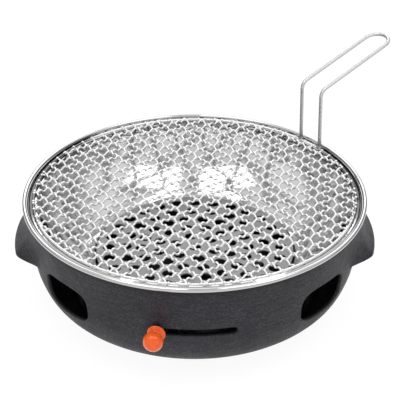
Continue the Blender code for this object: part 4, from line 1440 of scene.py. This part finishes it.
VIEW_ELEVATION = math.radians(30.952)
VIEW_DISTANCE = 6.7829 * RIM_RADIUS
VIEW_LENS = 105.70
VIEW_TARGET = (0.03075 * RIM_RADIUS, -0.08601 * RIM_RADIUS, RIM_Z)
FLOOR_HALF = 9.0
FLOOR_GLOW = 1.85
SKY = ((0.0, 0.05), (0.28, 0.12), (0.45, 0.9), (0.75, 1.0), (1.0, 0.8))  # sine of height, value
SKY_FRONT = 0.4  # how much higher the surroundings count as being, straight in front
LAMPS = (  # name, place, target, size, radiance
    ("back_softbox", (0.0, 1.15, 0.95), (0, 0, 0.1), (1.3, 0.7), 2.0),
    ("left_softbox", (-0.40, -0.28, 1.2), (-0.40, -0.28, 0), (0.7, 0.45), 3.2),
    ("right_softbox", (0.56, -0.28, 1.2), (0.56, -0.28, 0), (0.76, 0.45), 3.2),
)


def sky_world(scene):
    """Surroundings that brighten with the height above the horizon, and sooner in front."""
    scene.world = bpy.data.worlds.new("studio")
    scene.world.use_nodes = True
    sky = Nodes(scene.world.node_tree)
    place = sky.node("ShaderNodeTexCoord", {}, {}, "Generated")
    y, z = (sky.node("ShaderNodeSeparateXYZ", {}, {0: place}, letter) for letter in "YZ")
    toward = {"Value": y, "From Min": 0.2, "From Max": -1.0, "To Max": SKY_FRONT}
    height = z + sky.node("ShaderNodeMapRange", {}, toward)
    shade = sky.node("ShaderNodeValToRGB", {}, {"Fac": height}, "Color").socket
    stops = shade.node.color_ramp.elements
    while len(stops) < len(SKY):
        stops.new(0.5)
    for stop, (place, value) in zip(stops, SKY):
        stop.position, stop.color = place, (*grey(value), 1)
    sky.tree.links.new(shade, sky.tree.nodes["Background"].inputs["Color"])


def area_light(name, place, aim, size, radiance):
    """Rectangular softbox; its power is pi * area * radiance."""
    data = bpy.data.lights.new(name, "AREA")
    data.shape, data.size, data.size_y = "RECTANGLE", *size
    data.energy = math.pi * size[0] * size[1] * radiance
    lamp = bpy.data.objects.new(name, data)
    lamp.location = place
    lamp.rotation_euler = (Vector(aim) - Vector(place)).to_track_quat("-Z", "Y").to_euler()
    bpy.context.scene.collection.objects.link(lamp)


class GRILL_OT_studio(bpy.types.Operator):
    """Pale floor, soft lights, surroundings and the camera"""

    bl_idname = "grill.studio"
    bl_label = "Studio"

    def execute(self, context):
        scene = context.scene
        scene.view_settings.view_transform = "Standard"
        floor = Finish("studio_floor")
        grain = floor.noise(3.0, 2.0)
        tone = floor.blend(grain * 0.1, grey(0.11), grey(0.10))
        paint = floor.surface(
            Base_Color=tone, Roughness=0.9, Specular_IOR_Level=0.0,
            Emission_Color=grey(0.5), Emission_Strength=FLOOR_GLOW,
        )
        mesh = bpy.data.meshes.new("studio_floor")
        half = FLOOR_HALF
        corners = [(-half, -half, 0), (half, -half, 0), (half, half, 0), (-half, half, 0)]
        mesh.from_pydata(corners, [], [(0, 1, 2, 3)])
        mesh.materials.append(paint)
        ground = bpy.data.objects.new("studio_floor", mesh)
        scene.collection.objects.link(ground)
        sky_world(scene)
        for lamp in LAMPS:
            area_light(*lamp)
        lens = bpy.data.cameras.new("camera")
        lens.lens, lens.sensor_width = VIEW_LENS, 36.0
        lens.clip_start, lens.clip_end = 0.05, 50.0
        camera = bpy.data.objects.new("camera", lens)
        back = Vector((0, -math.cos(VIEW_ELEVATION), math.sin(VIEW_ELEVATION)))
        camera.location = Vector(VIEW_TARGET) + VIEW_DISTANCE * back
        camera.rotation_euler = (-back).to_track_quat("-Z", "Y").to_euler()
        scene.collection.objects.link(camera)
        scene.camera = camera
        return {"FINISHED"}


# ---------------------------------------------------------------- panel and registration


class GRILL_PT_panel(bpy.types.Panel):
    """Lists the grill's sizes, colours and operators"""

    bl_label = "Grill"
    bl_space_type = "VIEW_3D"
    bl_region_type = "UI"
    bl_category = "Grill"

    def draw(self, context):
        for group in (context.scene.grill_sizes, context.scene.grill_colours):
            box = self.layout.box()
            for key in group.bl_rna.properties.keys():
                if key not in ("rna_type", "name"):
                    box.prop(group, key)
        for operator in OPERATORS:
            self.layout.operator(operator.bl_idname)


OPERATORS = (
    GRILL_OT_casing, GRILL_OT_base, GRILL_OT_pivot, GRILL_OT_damper, GRILL_OT_bowl,
    GRILL_OT_charcoal_plate, GRILL_OT_grate, GRILL_OT_handle, GRILL_OT_studio,
)
CLASSES = (GrillSizes, GrillColours, *OPERATORS, GRILL_PT_panel)


def register():
    for cls in CLASSES:
        bpy.utils.register_class(cls)
    bpy.types.Scene.grill_sizes = PointerProperty(type=GrillSizes)
    bpy.types.Scene.grill_colours = PointerProperty(type=GrillColours)


def unregister():
    del bpy.types.Scene.grill_colours
    del bpy.types.Scene.grill_sizes
    for cls in reversed(CLASSES):
        bpy.utils.unregister_class(cls)


def build():
    """Runs every operator in order."""
    for operator in OPERATORS:
        group, name = operator.bl_idname.split(".")
        getattr(getattr(bpy.ops, group), name)()


def main():
    register()
    build()


if __name__ == "__main__":
    main()
